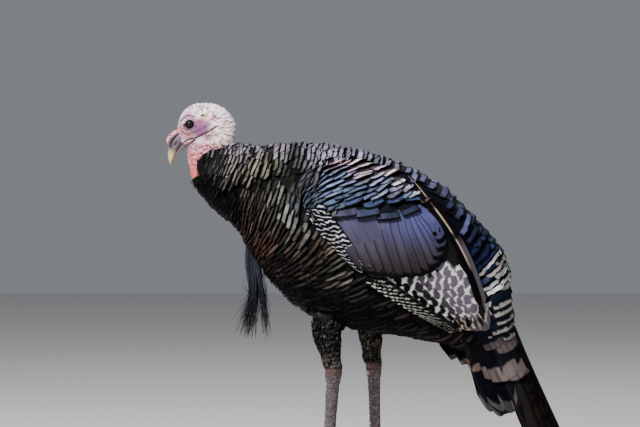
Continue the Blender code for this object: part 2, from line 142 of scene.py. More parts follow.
def joined(names, amount=0.0):
    """Vertices and triangles of some nodes together, each grown by an amount so that they overlap."""
    all_verts, all_faces, start = [], [], 0
    for name in names:
        verts, faces = node_arrays(name)
        all_verts.append(grown(verts, faces, amount) if amount else verts)
        all_faces.append(faces + start)
        start += len(verts)
    return np.concatenate(all_verts), np.concatenate(all_faces)


def tree_of_nodes(*names):
    return tree_of(*joined(names))


def tree_of(verts, faces):
    return BVHTree.FromPolygons([tuple(v) for v in verts], [tuple(f) for f in faces.tolist()])


def mesh_from(name, verts, faces):
    mesh = bpy.data.meshes.new(name)
    faces = np.asarray(faces, np.int32)
    mesh.vertices.add(len(verts))
    mesh.vertices.foreach_set("co", np.asarray(verts, np.float32).ravel())
    mesh.loops.add(faces.size)
    mesh.loops.foreach_set("vertex_index", faces.ravel())
    mesh.polygons.add(len(faces))
    mesh.polygons.foreach_set("loop_start", np.arange(0, faces.size, faces.shape[1], dtype=np.int32))
    mesh.update(calc_edges=True)
    mesh.polygons.foreach_set("use_smooth", np.ones(len(faces), bool))
    return mesh


def finished(name, work):
    """Turns a bmesh into a smooth mesh and frees it."""
    mesh = bpy.data.meshes.new(name)
    work.to_mesh(mesh)
    work.free()
    mesh.polygons.foreach_set("use_smooth", np.ones(len(mesh.polygons), bool))
    return mesh


def positions(mesh):
    flat = np.empty(len(mesh.vertices) * 3, np.float32)
    mesh.vertices.foreach_get("co", flat)
    return flat.reshape(-1, 3)


def paint(mesh, rgba):
    """Stores a colour for each vertex; alpha carries how glossy the feather or skin is there."""
    layer = mesh.color_attributes.new("Col", "FLOAT_COLOR", "POINT")
    layer.data.foreach_set("color", np.asarray(rgba, np.float32).ravel())


def map_uv(mesh, name, uv_per_vertex):
    index = np.zeros(len(mesh.loops), np.int32)
    mesh.loops.foreach_get("vertex_index", index)
    layer = mesh.uv_layers.new(name=name)
    layer.data.foreach_set("uv", np.asarray(uv_per_vertex, np.float32)[index].ravel())


def place(name, mesh, material, slot, replaced=()):
    obj = bpy.data.objects.new(name, mesh)
    bpy.context.scene.collection.objects.link(obj)
    mesh.materials.append(material)
    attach(obj, "root")
    if replaced:
        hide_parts(*replaced)
    return obj


# ---------------------------------------------------------------- materials


def shader_of(name):
    """A new material, its node tree and its Principled shader."""
    made = bpy.data.materials.new(name)
    made.use_nodes = True
    return made, made.node_tree, made.node_tree.nodes["Principled BSDF"]


def wire(tree, node, inputs):
    """Sets a node's inputs: another node's output is linked, anything else is a value."""
    for key, value in inputs.items():
        if isinstance(value, bpy.types.NodeSocket):
            tree.links.new(value, node.inputs[key])
        else:
            node.inputs[key].default_value = value


def add(tree, kind, output, inputs=None, **settings):
    """Adds a node and returns one of its outputs."""
    node = tree.nodes.new("ShaderNode" + kind)
    for key, value in settings.items():
        setattr(node, key, value)
    wire(tree, node, inputs or {})
    return node.outputs[output]


def ranged(tree, value, low, high):
    """Maps the middle of a noise, 0.3 to 0.7, to a range of brightness."""
    marks = {"From Min": 0.3, "From Max": 0.7, "To Min": low, "To Max": high}
    return add(tree, "MapRange", "Result", {"Value": value, **marks})


def relief(tree, height, strength, distance):
    return add(tree, "Bump", "Normal", {"Height": height, "Strength": strength, "Distance": distance})


def feather_material(name, rough=0.45, barbs=150.0, bump=0.25, metal=0.35, streak=0.35):
    """Vane colours, darkened and lightened along fine barbs that slant away from the shaft."""
    made, tree, shader = shader_of(name)
    tint = tree.nodes.new("ShaderNodeVertexColor")
    tint.layer_name = "Col"
    vane = add(tree, "UVMap", "UV", uv_map="vane")
    split = tree.nodes.new("ShaderNodeSeparateXYZ")
    wire(tree, split, {"Vector": vane})
    u, v = split.outputs["X"], split.outputs["Y"]
    centred = add(tree, "Math", 0, {0: u, 1: 0.5}, operation="SUBTRACT")
    away = add(tree, "Math", 0, {0: centred}, operation="ABSOLUTE")
    slant = add(tree, "Math", 0, {0: away, 1: -0.8, 2: v}, operation="MULTIPLY_ADD")
    across = add(tree, "CombineXYZ", 0, {"X": slant, "Y": u})
    stretch = add(tree, "VectorMath", 0, {0: across, 1: (barbs, barbs * 0.04, 1.0)}, operation="MULTIPLY")
    barb = add(tree, "TexNoise", "Fac", {"Vector": stretch, "Scale": 1.0, "Detail": 2.0, "Roughness": 0.6})
    level = ranged(tree, barb, 1.0 - streak, 1.0 + streak)
    streaked = add(tree, "VectorMath", 0, {0: tint.outputs["Color"], "Scale": level}, operation="SCALE")
    wire(tree, shader, {
        "Base Color": streaked,
        "Metallic": add(tree, "Math", 0, {0: tint.outputs["Alpha"], 1: metal}, operation="MULTIPLY"),
        "Normal": relief(tree, barb, bump, 0.0006),
        "Roughness": rough,
        "Specular IOR Level": 0.02,
    })
    return made


def skin_material():
    made, tree, shader = shader_of("skin")
    tint = add(tree, "VertexColor", "Color", layer_name="Col")
    at = add(tree, "TexCoord", "Object")
    grain = add(tree, "TexVoronoi", "Distance", {"Vector": at, "Scale": 420.0}, feature="F1")
    mottle = add(tree, "TexNoise", "Fac", {"Vector": at, "Scale": 160.0, "Detail": 5.0})
    level = ranged(tree, mottle, 0.86, 1.1)
    both = add(tree, "Math", 0, {0: grain, 1: mottle}, operation="ADD")
    wire(tree, shader, {
        "Base Color": add(tree, "VectorMath", 0, {0: tint, "Scale": level}, operation="SCALE"),
        "Normal": relief(tree, both, 0.35, 0.0005),
        "Roughness": 0.5,
        "Specular IOR Level": 0.16,
        "Subsurface Weight": 0.12,
        "Subsurface Radius": (0.004, 0.0015, 0.001),
    })
    return made


def painted_material(name, rough, grain_scale=300.0, bump=0.1, shine=0.5):
    """Vertex colours with a fine grain, for horn, claws and bristles."""
    made, tree, shader = shader_of(name)
    at = add(tree, "TexCoord", "Object")
    grain = add(tree, "TexNoise", "Fac", {"Vector": at, "Scale": grain_scale, "Detail": 4.0})
    wire(tree, shader, {
        "Base Color": add(tree, "VertexColor", "Color", layer_name="Col"),
        "Normal": relief(tree, grain, bump, 0.0004),
        "Roughness": rough,
        "Specular IOR Level": shine,
    })
    return made


def plain_material(name, rgb, rough, shine=0.5):
    made, tree, shader = shader_of(name)
    wire(tree, shader, {"Base Color": (*rgb, 1.0), "Roughness": rough, "Specular IOR Level": shine})
    return made


PLUMAGE = feather_material("plumage_vanes", rough=0.42)
COVERT = feather_material("covert_vanes", rough=0.42)
QUILL = feather_material("quill_vanes", barbs=110.0, metal=0.25, streak=0.26, bump=0.35)
BRISTLE = painted_material("bristle", 0.6, bump=0.0, shine=0.05)
SCALE = painted_material("scale", 0.5, 500.0, 0.25)
EYE_GLOSS = painted_material("eye_gloss", 0.05, bump=0.0, shine=0.2)
HORN = painted_material("horn", 0.32, 260.0, 0.12)
WATTLE = painted_material("wattle", 0.42, 420.0, 0.3)


# ---------------------------------------------------------------- the skin

# The border of the bare skin on the side of the neck: feathers begin behind and below it (z, x).
BARE_Z = np.array((484, 494, 507, 517, 528, 541, 548), float) * MM
BARE_X = np.array((-292, -275, -280, -279, -268, -228, -200), float) * MM
HOCK = 187 * MM  # the leg feathers end here
EYE = np.mean(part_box("eye_left"), axis=0)
EYE_OPENING = 6.0 * MM
LID_RADIUS = 6.7 * MM  # of the ball that the lids' rims lie on
LID_REACH = 10.5 * MM
EYE_SIDE = 8.0 * MM  # the eyes lie farther than this from the middle of the head


def bareness(p):
    """How far a point is on the bare side of the neck's feather border, in metres."""
    x, z = p[..., 0], p[..., 2]
    edge = np.interp(z, BARE_Z, BARE_X)
    on_side = edge - x
    above = np.where(x < -195 * MM, z - np.interp(x / MM, (-226, -214), (541, 552)) * MM, -1.0)
    below = z - 484 * MM
    return np.maximum(np.minimum(on_side, below), above)


def coat_depth(p):
    """Depth of the coat over the skin: none on the face and legs, most on the breast and back."""
    z = p[..., 2]
    border = -bareness(p)
    depth = 8.5 * MM * step(0.0, 45 * MM, border) + 1.2 * MM * step(-1 * MM, 3 * MM, border)
    leg = 1 - step(215 * MM, 262 * MM, z)
    depth = mix(depth, 3.2 * MM * step(HOCK - 2 * MM, HOCK + 16 * MM, z), leg)
    return np.where(z < HOCK - 2 * MM, 0.0, depth)


def remeshed(name, verts, faces, voxel, smooth_steps):
    """The voxel hull of some closed solids, smoothed, as a bmesh."""
    source = bpy.data.objects.new(name, mesh_from(name, verts, faces))
    bpy.context.scene.collection.objects.link(source)
    remesh = source.modifiers.new("remesh", "REMESH")
    remesh.mode = "VOXEL"
    remesh.voxel_size = voxel
    relax = source.modifiers.new("smooth", "SMOOTH")
    relax.factor, relax.iterations = 0.5, smooth_steps
    bpy.context.view_layer.update()
    result = source.evaluated_get(bpy.context.evaluated_depsgraph_get()).to_mesh()
    work = bmesh.new()
    work.from_mesh(result)
    bpy.data.objects.remove(source)
    return work


def normals_of(work):
    work.normal_update()
    return np.array([v.normal for v in work.verts], float)


def positions_of(work):
    return np.array([v.co for v in work.verts], float)


def set_positions(work, positions):
    for vertex, co in zip(work.verts, positions.tolist()):
        vertex.co = co


def split_faces(work, chosen):
    """Halves the edges of the chosen faces."""
    centres = np.array([f.calc_center_median() for f in work.faces], float)
    picked = chosen(centres)
    faces = [f for f, yes in zip(work.faces, picked) if yes]
    edges = list({e for f in faces for e in f.edges})
    bmesh.ops.subdivide_edges(work, edges=edges, cuts=1, use_grid_fill=True)


def face_zone(p):
    return (p[:, 0] < -225 * MM) & (p[:, 2] > 480 * MM)


def eye_zone(p):
    near = np.hypot(p[:, 0] - EYE[0], p[:, 2] - EYE[2]) < 16 * MM
    bill = (p[:, 0] < -280 * MM) & (p[:, 2] > 535 * MM)
    return near & (np.abs(p[:, 1]) > EYE_SIDE) | bill


def leg_zone(p):
    return p[:, 2] < HOCK


# Lines of the face in the side view (x, z).
BROW = ((-307, 579), (-304, 584), (-299, 588), (-293, 589.5), (-287, 588), (-283.5, 587))
LID = ((-305, 581), (-300, 585.5), (-292, 586.5), (-284, 584))
GAPE = (
    (-307, 541), (-302, 545.5), (-296, 549), (-289, 551.5), (-283, 552),
    (-276, 555), (-268, 559), (-259, 563.5), (-254, 567), (-248.5, 571.5),
)
LIP = ((-303, 541.5), (-297, 545.5), (-291, 548), (-286, 550))
UNDER_LIP = ((-300, 538), (-295, 541.5), (-289, 545), (-283.5, 549.5))
# Folds of the face: line, depth, width and how much shade is painted into its crease. A negative depth is a
# groove.
FOLDS = (
    (BROW, -1.0, 0.9, 0),
    (((-308, 577), (-305, 588), (-298, 592.5), (-291, 593.5), (-283, 591)), 1.0, 1.5, 0),
    (LID, 0.7, 1.2, 0),
    (GAPE, -1.8, 1.1, 0),
    (LIP, 0.9, 1.3, 0),
    (UNDER_LIP, -1.2, 1.3, 0),
    (((-286, 552), (-278, 558), (-268, 563), (-259, 568), (-253, 573)), 1.0, 2.2, 0),
    (((-304, 569), (-299, 566), (-291, 565), (-284, 567.5), (-281, 572)), -0.7, 0.8, 0.8),
    (((-303, 564.5), (-296, 561.5), (-288, 562), (-280, 566)), 0.6, 1.4, 0),
    (((-309, 570), (-302, 561), (-294, 557)), -0.6, 0.8, 0.8),
    (((-284, 545), (-276, 545), (-266, 549), (-256, 555)), 0.7, 2.6, 0),
    (((-247, 584), (-238, 584)), -0.8, 0.6, 0.8),
    (((-235, 575), (-227, 575)), -0.8, 0.6, 0.8),
    (((-261, 556), (-252, 556), (-244, 560)), -0.5, 0.7, 0.8),
    (((-296, 535), (-288, 532), (-280, 534)), -0.6, 1.4, 0),
    (((-297, 525), (-289, 521), (-282, 522)), -0.6, 1.3, 0),
    (((-296, 512), (-290, 508), (-283, 510)), -0.6, 1.3, 0),
    (((-294, 500), (-288, 496), (-281, 498)), -0.7, 1.4, 0),
)
EAR = (-270.8, 589.2)
# Red spots of the neck's side: middle (x, z), size and how bright each is.
RED_SPOTS = (
    ((-265, 540), 2.2, 1.0), ((-252.4, 544), 2.0, 1.0), ((-248.5, 538), 1.6, 0.5), ((-272.7, 528), 1.8, 0.8),
    ((-279, 524.5), 1.6, 0.9), ((-280.5, 517), 1.8, 0.9), ((-258, 536), 1.4, 0.8), ((-270, 546), 1.5, 0.7),
    ((-283, 534), 1.5, 0.8), ((-286, 526), 1.3, 0.8), ((-243, 547), 1.5, 0.9), ((-276, 536), 1.2, 0.9),
)


def distance_to_line(x, z, line):
    """Distance of points from a line of points in the side view, all in millimetres."""
    best = np.full(x.shape, 1e9)
    for (ax, az), (bx, bz) in zip(line, line[1:]):
        ux, uz = bx - ax, bz - az
        t = np.clip(((x - ax) * ux + (z - az) * uz) / (ux * ux + uz * uz), 0, 1)
        best = np.minimum(best, np.hypot(x - ax - ux * t, z - az - uz * t))
    return best


def red_pits():
    """Short wrinkles over crown, nape and side of the neck: middle (x, z), direction, length, width."""
    pits = []
    centre = np.array((-272.0, 573.0))
    local = np.random.default_rng(5)
    while len(pits) < 135:
        angle = math.radians(local.uniform(-75, 130))
        reach = local.uniform(17, 50)
        at = centre + reach * np.array((math.cos(angle), math.sin(angle)))
        if at[0] > -218 or at[1] > 609 or math.hypot(at[0] + 271, at[1] - 589) < 7:
            continue
        way = angle + local.normal(0, 0.18)
        pits.append((at, way, local.uniform(1.0, 4.4), local.uniform(0.42, 0.85)))
    return pits


PITS = red_pits()
CROWN = (-268.0, 570.0)  # the wrinkles of crown and nape point here
CROWN_WRINKLES = 36.0  # as many in a full turn


def crown_wrinkles(x, z):
    """Grooves across crown and nape, which all point at one place behind the eye."""
    dx, dz = x - CROWN[0], z - CROWN[1]
    turn, reach = np.arctan2(dz, dx), np.hypot(dx, dz)
    wave = 0.5 + 0.5 * np.cos(turn * CROWN_WRINKLES + 5.0 * (grain(turn * 3.0, reach / 9.0, 0.0, 45) - 0.5))
    strength = step(0.30, 0.62, grain(turn * 3.0 * 4.0, reach / 9.0, 0.0, 46))
    limits = step(19, 25, reach) * step(-0.55, -0.25, turn) * step(2.4, 2.0, turn)
    return step(0.70, 0.96, wave) * strength * limits


def pit_amount(x, z):
    total = np.zeros(x.shape)
    for at, way, length, width in PITS:
        dx, dz = x - at[0], z - at[1]
        along = dx * math.cos(way) + dz * math.sin(way)
        side = -dx * math.sin(way) + dz * math.cos(way)
        total = np.maximum(total, np.exp(-((along / length) ** 4) - (side / width) ** 2))
    return total


def wart_amount(p_mm):
    """Beads of the caruncles, largest low on the throat."""
    cells = noise(p_mm, 3.4, 3) * 0.6 + noise(p_mm, 1.9, 4) * 0.4
    return step(0.42, 0.72, cells)


def sculpt(work):
    """Folds, wrinkles, lids, ear, warts and leg scutes, raised or sunk along the skin's normals."""
    p, n = positions_of(work), normals_of(work)
    x, _, z = (p / MM).T
    head = bareness(p) > -2 * MM
    sideways = step(0.35, 0.75, np.abs(n[:, 1]))
    lift = np.zeros(len(p))
    for line, depth, width, _ in FOLDS:
        lift += depth * np.exp(-((distance_to_line(x, z, line) / width) ** 2)) * sideways
    lift -= 0.7 * pit_amount(x, z) * step(0.2, 0.6, np.abs(n[:, 1]) + 0.3)
    lift -= 0.6 * crown_wrinkles(x, z)
    ear = np.hypot((x - EAR[0]) / 1.7, z - EAR[1])
    lift += (-2.4 * np.exp(-((ear / 1.5) ** 2)) + 0.7 * np.exp(-(((ear - 3.4) / 1.2) ** 2))) * sideways
    neck = step(552, 538, z)
    lift += neck * (1.5 * wart_amount(p / MM) - 0.5)
    crown = step(548, 560, z)
    lift += crown * (0.9 * (noise(p / MM, 3.2, 8) - 0.5) + 0.6 * (noise(p / MM, 1.6, 9) - 0.5))
    near_eye = np.hypot(x - EYE[0] / MM, z - EYE[2] / MM)
    lift = np.where(near_eye < 9.0, lift * step(7.0, 9.0, near_eye), lift)
    p += n * (lift * head * MM)[:, None]
    set_positions(work, p)


def open_lids(work):
    """Cuts an opening over each eye and rolls its rim onto the eyeball as two lids."""
    centres = [face.calc_center_median() for face in work.faces]
    dead = [
        face
        for face, c in zip(work.faces, centres)
        if abs(c.y) > 10 * MM and math.hypot(c.x - EYE[0], c.z - EYE[2]) < EYE_OPENING
    ]
    bmesh.ops.delete(work, geom=dead, context="FACES")
    p = positions_of(work)
    dx, dz = p[:, 0] - EYE[0], p[:, 2] - EYE[2]
    reach = np.hypot(dx, dz)
    side = np.where(p[:, 1] < 0, -1.0, 1.0)
    rim = np.array([v.is_boundary for v in work.verts])
    rim &= (reach < 9 * MM) & (np.abs(p[:, 1]) > EYE_SIDE)
    almond = EYE_OPENING * (1 - 0.10 * (dz / np.maximum(reach, 1e-6)) ** 2)
    scale = np.where(rim, almond / np.maximum(reach, 1e-6), 1.0)
    p[:, 0], p[:, 2] = EYE[0] + dx * scale, EYE[2] + dz * scale
    reach = np.hypot(p[:, 0] - EYE[0], p[:, 2] - EYE[2])
    ball_y = abs(EYE[1]) + np.sqrt(np.maximum(LID_RADIUS**2 - np.minimum(reach, LID_RADIUS * 0.98) ** 2, 0))
    lid_band = (reach < LID_REACH) & (np.abs(p[:, 1]) > EYE_SIDE)
    out = step(EYE_OPENING, LID_REACH, reach)
    swell = 1.3 * MM * np.exp(-(((reach - 7.3 * MM) / (1.0 * MM)) ** 2))
    lid_y = mix(ball_y + 0.1 * MM, np.abs(p[:, 1]), out) + swell
    p[:, 1] = np.where(lid_band, side * lid_y, p[:, 1])
    set_positions(work, p)


def plate_gap(z):
    """The gaps between the cross plates of the shank, by height in millimetres."""
    saw = (z / 5.6) % 1.0
    return (np.minimum(saw, 1 - saw) < 0.12) * 1.0


def scutes(work):
    """Cross plates down the front of the shanks and along the toes, small scales elsewhere."""
    p, n = positions_of(work), normals_of(work)
    z = p[:, 2] / MM
    leg = step(HOCK / MM + 1, HOCK / MM - 6, z)
    shank = step(24, 32, z)
    front = step(0.15, 0.6, -n[:, 0])
    plate = plate_gap(z) * -0.55
    net = step(0.35, 0.6, noise(p / MM, 2.6, 21)) * 0.5 - 0.25
    toe_saw = (np.hypot(p[:, 0], p[:, 1]) / MM / 4.2) % 1.0
    toe = (np.minimum(toe_saw, 1 - toe_saw) < 0.16) * -0.5 * step(0.2, 0.7, n[:, 2])
    lift = mix(toe, mix(net, plate, front), shank)
    sole = step(1.5, 4.0, z)
    p += n * (lift * leg * sole * MM)[:, None]
    p[:, 2] = np.maximum(p[:, 2], 0.0)
    set_positions(work, p)


WHITE, LILAC, PINK = colour(0.97, 0.88, 0.92), colour(0.130, 0.035, 0.098), colour(0.36, 0.095, 0.125)
RED, MAROON = colour(0.32, 0.005, 0.018), colour(0.060, 0.004, 0.012)
SALMON, BEIGE = colour(0.58, 0.170, 0.140), colour(0.58, 0.33, 0.24)


class SkinPaint:
    """Layers of colour over points of the skin, placed in the side view (x, z) in millimetres."""

    def __init__(self, p, base):
        self.x, _, self.z = (p / MM).T
        self.rgb = np.tile(base, (len(p), 1))

    def over(self, tone, amount):
        self.rgb = mix(self.rgb, tone, np.clip(amount, 0, 1)[:, None])

    def blots(self, tone, *spots):
        """Soft round patches of one tone: middle (x, z), size and strength of each."""
        total = 0
        for at, size, strength in spots:
            total = total + strength * np.exp(-((self.x - at[0]) ** 2 + (self.z - at[1]) ** 2) / size**2)
        self.over(tone, total)

    def line(self, tone, amount, line, width):
        """A soft line of one tone."""
        self.over(tone, amount * np.exp(-((distance_to_line(self.x, self.z, line) / width) ** 2)))


def paint_crown(skin, p):
    """White skin with a warm tan nape, soft patches of painted lavender shade, and the red wrinkles of crown
    and nape.
    """
    x, z = skin.x, skin.z
    # Painted shade: lavender-tinted patches spread by noise over the white skin.
    skin.over(WHITE * colour(0.56, 0.36, 0.48), 0.85 * step(0.48, 0.78, noise(p / MM, 3.2, 31)))
    skin.over(colour(0.86, 0.80, 0.66), 0.8 * step(-258, -246, x) * step(584, 570, z))
    skin.over(colour(0.38, 0.10, 0.19), 0.85 * crown_wrinkles(x, z))


def paint_face(skin, p):
    """The lilac face, paler and pinker round the bill, the eye and the ear."""
    x, z = skin.x, skin.z
    skin.blots(mix(LILAC, WHITE, 0.30), ((-284, 545), 9, 0.75), ((-268, 551), 8, 0.55))
    face = step(1.2, 0.75, np.hypot((x + 283) / 27, (z - 568 - 0.25 * (x + 283)) / 15.5))
    mottled = step(0.35, 0.7, noise(p / MM, 4.5, 37))
    skin.over(mix(mix(LILAC, WHITE, 0.12), LILAC, mottled[:, None]), 0.96 * face)
    skin.blots(LILAC * 1.05, ((-269, 566), 9, 0.8), ((-282, 564), 7, 0.7))
    skin.blots(LILAC * 1.25, ((-281, 572), 8, 0.6), ((-275, 559), 6, 0.5))
    skin.blots(colour(0.27, 0.075, 0.185), ((-275, 578), 7, 0.9))
    skin.line(PINK, 0.9, LID, 1.6)
    skin.blots(mix(LILAC, PINK, 0.45), ((-302, 565), 8, 1.0), ((-292, 557), 6, 0.7))
    skin.blots(mix(PINK, BEIGE, 0.5), ((-308, 569), 6, 1.1), ((-301, 557), 6, 0.9))
    skin.blots(mix(PINK, BEIGE, 0.35), ((-300, 553), 5, 0.8), ((-289, 555), 4.5, 0.7))
    skin.blots(colour(0.40, 0.185, 0.340), ((-295, 591), 11, 0.9))
    skin.blots(colour(0.33, 0.150, 0.225), ((-307, 577), 6, 0.8))
    skin.blots(colour(0.62, 0.36, 0.22), ((-266, 587.5), 5.5, 1.1), ((-259, 583), 4, 0.7))
    skin.blots(mix(LILAC, PINK, 0.5), ((-262, 556), 8, 0.6))


def paint_creases(skin):
    """Painted shade in the brow groove, along the mouth, under the lip and in the lesser folds; the pink lip;
    the dark ear.
    """
    # Painted shade in the groove of the brow.
    skin.line(colour(0.075, 0.018, 0.040), 1.0, BROW, 1.35)
    skin.line(mix(PINK, WHITE, 0.25), 0.9, LIP, 1.4)
    # Painted shadow under the lower lip.
    skin.line(MAROON * 0.25, 1.1, UNDER_LIP, 1.7)
    # Painted shade along the mouth: near black by the bill, softer along its fold beyond the corner.
    at_mouth = step(-281, -287, skin.x)
    skin.line(LILAC * 0.08, 1.2 * at_mouth, GAPE, 1.25)
    skin.line(colour(0.080, 0.024, 0.055), 1 - at_mouth, GAPE, 1.4)
    # Painted shade in the lesser creases.
    for line, _, _, crease_shade in FOLDS:
        if crease_shade:
            skin.line(LILAC * 0.30, crease_shade, line, 0.8)
    ear = ((skin.x - EAR[0]) / 3.6) ** 2, ((skin.z - EAR[1]) / 1.8) ** 2
    skin.over(colour(0.035, 0.018, 0.014), 1.4 * np.exp(-ear[0] - ear[1]))


def paint_lids(skin):
    """A dusky ring round the eye, its dark front corner, and black inside the lids."""
    reach = np.hypot(skin.x - EYE[0] / MM, skin.z - EYE[2] / MM)
    skin.over(colour(0.12, 0.075, 0.105), 0.8 * np.exp(-(((reach - 8.8) / 1.1) ** 2)))
    skin.blots(colour(0.02, 0.013, 0.015), ((-301.0, 573.5), 2.4, 1.3))
    skin.over(colour(0.012, 0.008, 0.009), step(8.2, 7.4, reach))


def paint_neck(skin, p, n):
    """Red and salmon wattles with maroon specks, and the red spots and wrinkles behind them."""
    x, z = skin.x, skin.z
    neck = step(551, 538, z) * step(-232, -250, x)
    streak = step(0.35, 0.7, noise(p / MM * np.array((0.45, 1, 1.6)), 2.8, 33))
    skin.over(mix(PINK, LILAC, 0.30), neck * (0.58 + 0.38 * streak))
    skin.over(mix(SALMON, PINK, 0.45), 0.8 * step(540, 522, z) * neck * (0.5 + 0.5 * streak))
    skin.over(SALMON, step(518, 502, z) * neck)
    speck = step(0.76, 0.84, noise(p / MM, 1.7, 43))
    skin.over(MAROON * 0.5, 0.8 * speck * step(548, 535, z) * neck)
    flushed = step(0.5, 0.75, noise(p / MM, 6.0, 35))
    skin.over(RED, 0.38 * step(0.62, 0.35, wart_amount(p / MM)) * neck * flushed)
    for at, size, bright in RED_SPOTS:
        skin.blots(mix(MAROON, RED, bright), (at, size, 1.1))
    skin.over(mix(MAROON, RED, 0.15), 1.0 * pit_amount(x, z) * step(-0.1, 0.3, np.abs(n[:, 1])))


def face_colours(p, n):
    """Bare skin of head and neck."""
    skin = SkinPaint(p, WHITE)
    paint_crown(skin, p)
    paint_face(skin, p)
    paint_creases(skin)
    paint_lids(skin)
    paint_neck(skin, p, n)
    return skin.rgb


def leg_colours(p, n):
    """Scaly skin of shanks and toes, rusty under the feathers of the thigh."""
    z = p[:, 2] / MM
    shank, pale = colour(0.068, 0.052, 0.058), colour(0.118, 0.094, 0.102)
    rusty, toes = colour(0.075, 0.034, 0.026), colour(0.12, 0.085, 0.085)
    scale = step(0.35, 0.65, noise(p / MM, 2.6, 21))
    plate = mix(pale * 1.08, shank * 0.4, plate_gap(z)[:, None])
    rgb = mix(shank * 0.62, pale, scale[:, None])
    rgb = mix(rgb, plate, (step(0.15, 0.6, -n[:, 0]) * step(24, 32, z))[:, None])
    rgb = mix(rgb, rusty, (0.8 * step(HOCK / MM - 26, HOCK / MM - 6, z))[:, None])
    return mix(rgb, toes * mix(0.7, 1.1, scale)[:, None], step(28, 16, z)[:, None])


def skin_colours(p, n):
    """Markings of the skin. Under the feathers it is painted dark as shade, so that the coat's gaps read
    dark.
    """
    x, _, z = (p / MM).T
    # Near black, for the skin's freckles and for the painted shade under the coat.
    dark = colour(0.004, 0.0035, 0.004)
    nape = step(-262, -235, x) * step(590, 560, z)
    freckle = step(0.86 - 0.10 * nape, 0.92 - 0.10 * nape, noise(p / MM, 1.5, 41)) * step(-268, -250, x)
    under = step(1.0, -2.0, bareness(p) / MM)
    leg = step(HOCK / MM + 1.5, HOCK / MM - 3, z)
    rgb = mix(face_colours(p, n), dark, (0.85 * freckle)[:, None])
    # Painted shade: the skin under the coat is made near black, for the shade in the coat's gaps.
    rgb = mix(rgb, dark, (under * (1 - leg))[:, None])
    rgb = mix(rgb, leg_colours(p, n), leg[:, None])
    return with_gloss(rgb, 0.0)


def build_skin():
    verts, faces = joined(FLESH, SKIN_SWELL)
    work = remeshed("skin_source", verts, faces, VOXEL, 5)
    p, n = positions_of(work), normals_of(work)
    inset = coat_depth(p) + SKIN_SWELL * 0.6
    set_positions(work, p - n * inset[:, None])
    for _ in range(3):
        bmesh.ops.smooth_vert(
            work, verts=work.verts, factor=0.5, use_axis_x=True, use_axis_y=True, use_axis_z=True
        )
    for zone in (face_zone, eye_zone, leg_zone):
        split_faces(work, zone)
    sculpt(work)
    open_lids(work)
    scutes(work)
    rgba = skin_colours(positions_of(work), normals_of(work))
    mesh = finished("skin", work)
    paint(mesh, rgba)
    return place("skin", mesh, skin_material(), "plumage", SKIN_NODES)


skin = build_skin()
SKIN_P = positions(skin.data).astype(float)
SKIN_TREE = BVHTree.FromPolygons(
    [tuple(v) for v in SKIN_P], [tuple(f.vertices) for f in skin.data.polygons]
)


def nearest_skin(at):
    """The skin's nearest point and its normal."""
    found, normal, _, _ = SKIN_TREE.find_nearest(at)
    return found, normal


def skin_from_side(x, z, sign):
    """The skin's outermost point and normal at a place in the side view, both None beside it."""
    hit, normal, _, _ = SKIN_TREE.ray_cast(Vector((x, sign * FAR, z)), Vector((0, -sign, 0)))
    return hit, normal


def blended(table, at, power=4, soft=5.0):
    """Values of the table's rows after the first item, blended by distance from each row's middle."""
    middles = np.array([row[0] for row in table], float)
    weight = 1 / (np.linalg.norm(at[:, None] - middles[None], axis=2) + soft) ** power
    weight /= weight.sum(1, keepdims=True)
    return [weight @ np.array([row[k] for row in table], float) for k in range(1, len(table[0]))]


def side_lie(normal, ways):
    """Directions given in the side view, laid into the surface."""
    lie = np.column_stack((ways[:, 0], np.zeros(len(ways)), ways[:, 1]))
    return laid(lie, normal)


# ---------------------------------------------------------------- the lie of the coat

# The line the body is swept along, from under the skull to the root of the tail (x, z).
SPINE = np.array(
    ((-262, 556), (-250, 515), (-208, 463), (-125, 420), (-25, 386), (75, 345), (160, 292), (222, 222)), float
)
STATIONS, ROUND = 90, 96


def along_spine(t):
    """Point and direction of the spine at places t from 0 to 1."""
    place_at = np.clip(t, 0, 1) * (len(SPINE) - 1)
    i = np.minimum(place_at.astype(int), len(SPINE) - 2)
    f = (place_at - i)[:, None]
    padded = np.vstack((2 * SPINE[0] - SPINE[1], SPINE, 2 * SPINE[-1] - SPINE[-2]))
    a, b, c, d = (padded[i + k] for k in range(4))
    point = 0.5 * (2 * b + (c - a) * f + (2 * a - 5 * b + 4 * c - d) * f**2 + (3 * b - a - 3 * c + d) * f**3)
    way = 0.5 * ((c - a) + 2 * (2 * a - 5 * b + 4 * c - d) * f + 3 * (3 * b - a - 3 * c + d) * f**2)
    return point * MM, unit(way)


def body_grid():
    """Points of the body's surface by station and angle, from the back (0) round the right side."""
    tree = tree_of_nodes("head", "neck", "lower_neck", "trunk", "rump")
    point, way = along_spine(np.linspace(0.0, 1.0, STATIONS))
    grid = np.zeros((STATIONS, ROUND, 3))
    for i in range(STATIONS):
        origin = Vector((point[i, 0], 0, point[i, 1]))
        up = Vector((-way[i, 1], 0, way[i, 0]))
        for j in range(ROUND):
            angle = 2 * math.pi * j / ROUND
            aim = up * math.cos(angle) + Vector((0, math.sin(angle), 0))
            hit = tree.ray_cast(origin + aim * 0.5, -aim)[0]
            grid[i, j] = hit if hit else origin + aim * 0.02
    return grid


GRID = body_grid()
GRID_LIE = unit(np.gradient(GRID, axis=0))
GRID_RUN = np.concatenate(
    (np.zeros((1, ROUND)), np.cumsum(np.linalg.norm(np.diff(GRID, axis=0), axis=2), axis=0))
)
GRID_TREE = KDTree(STATIONS * ROUND)
for index, co in enumerate(GRID.reshape(-1, 3)):
    GRID_TREE.insert(co, index)
GRID_TREE.balance()


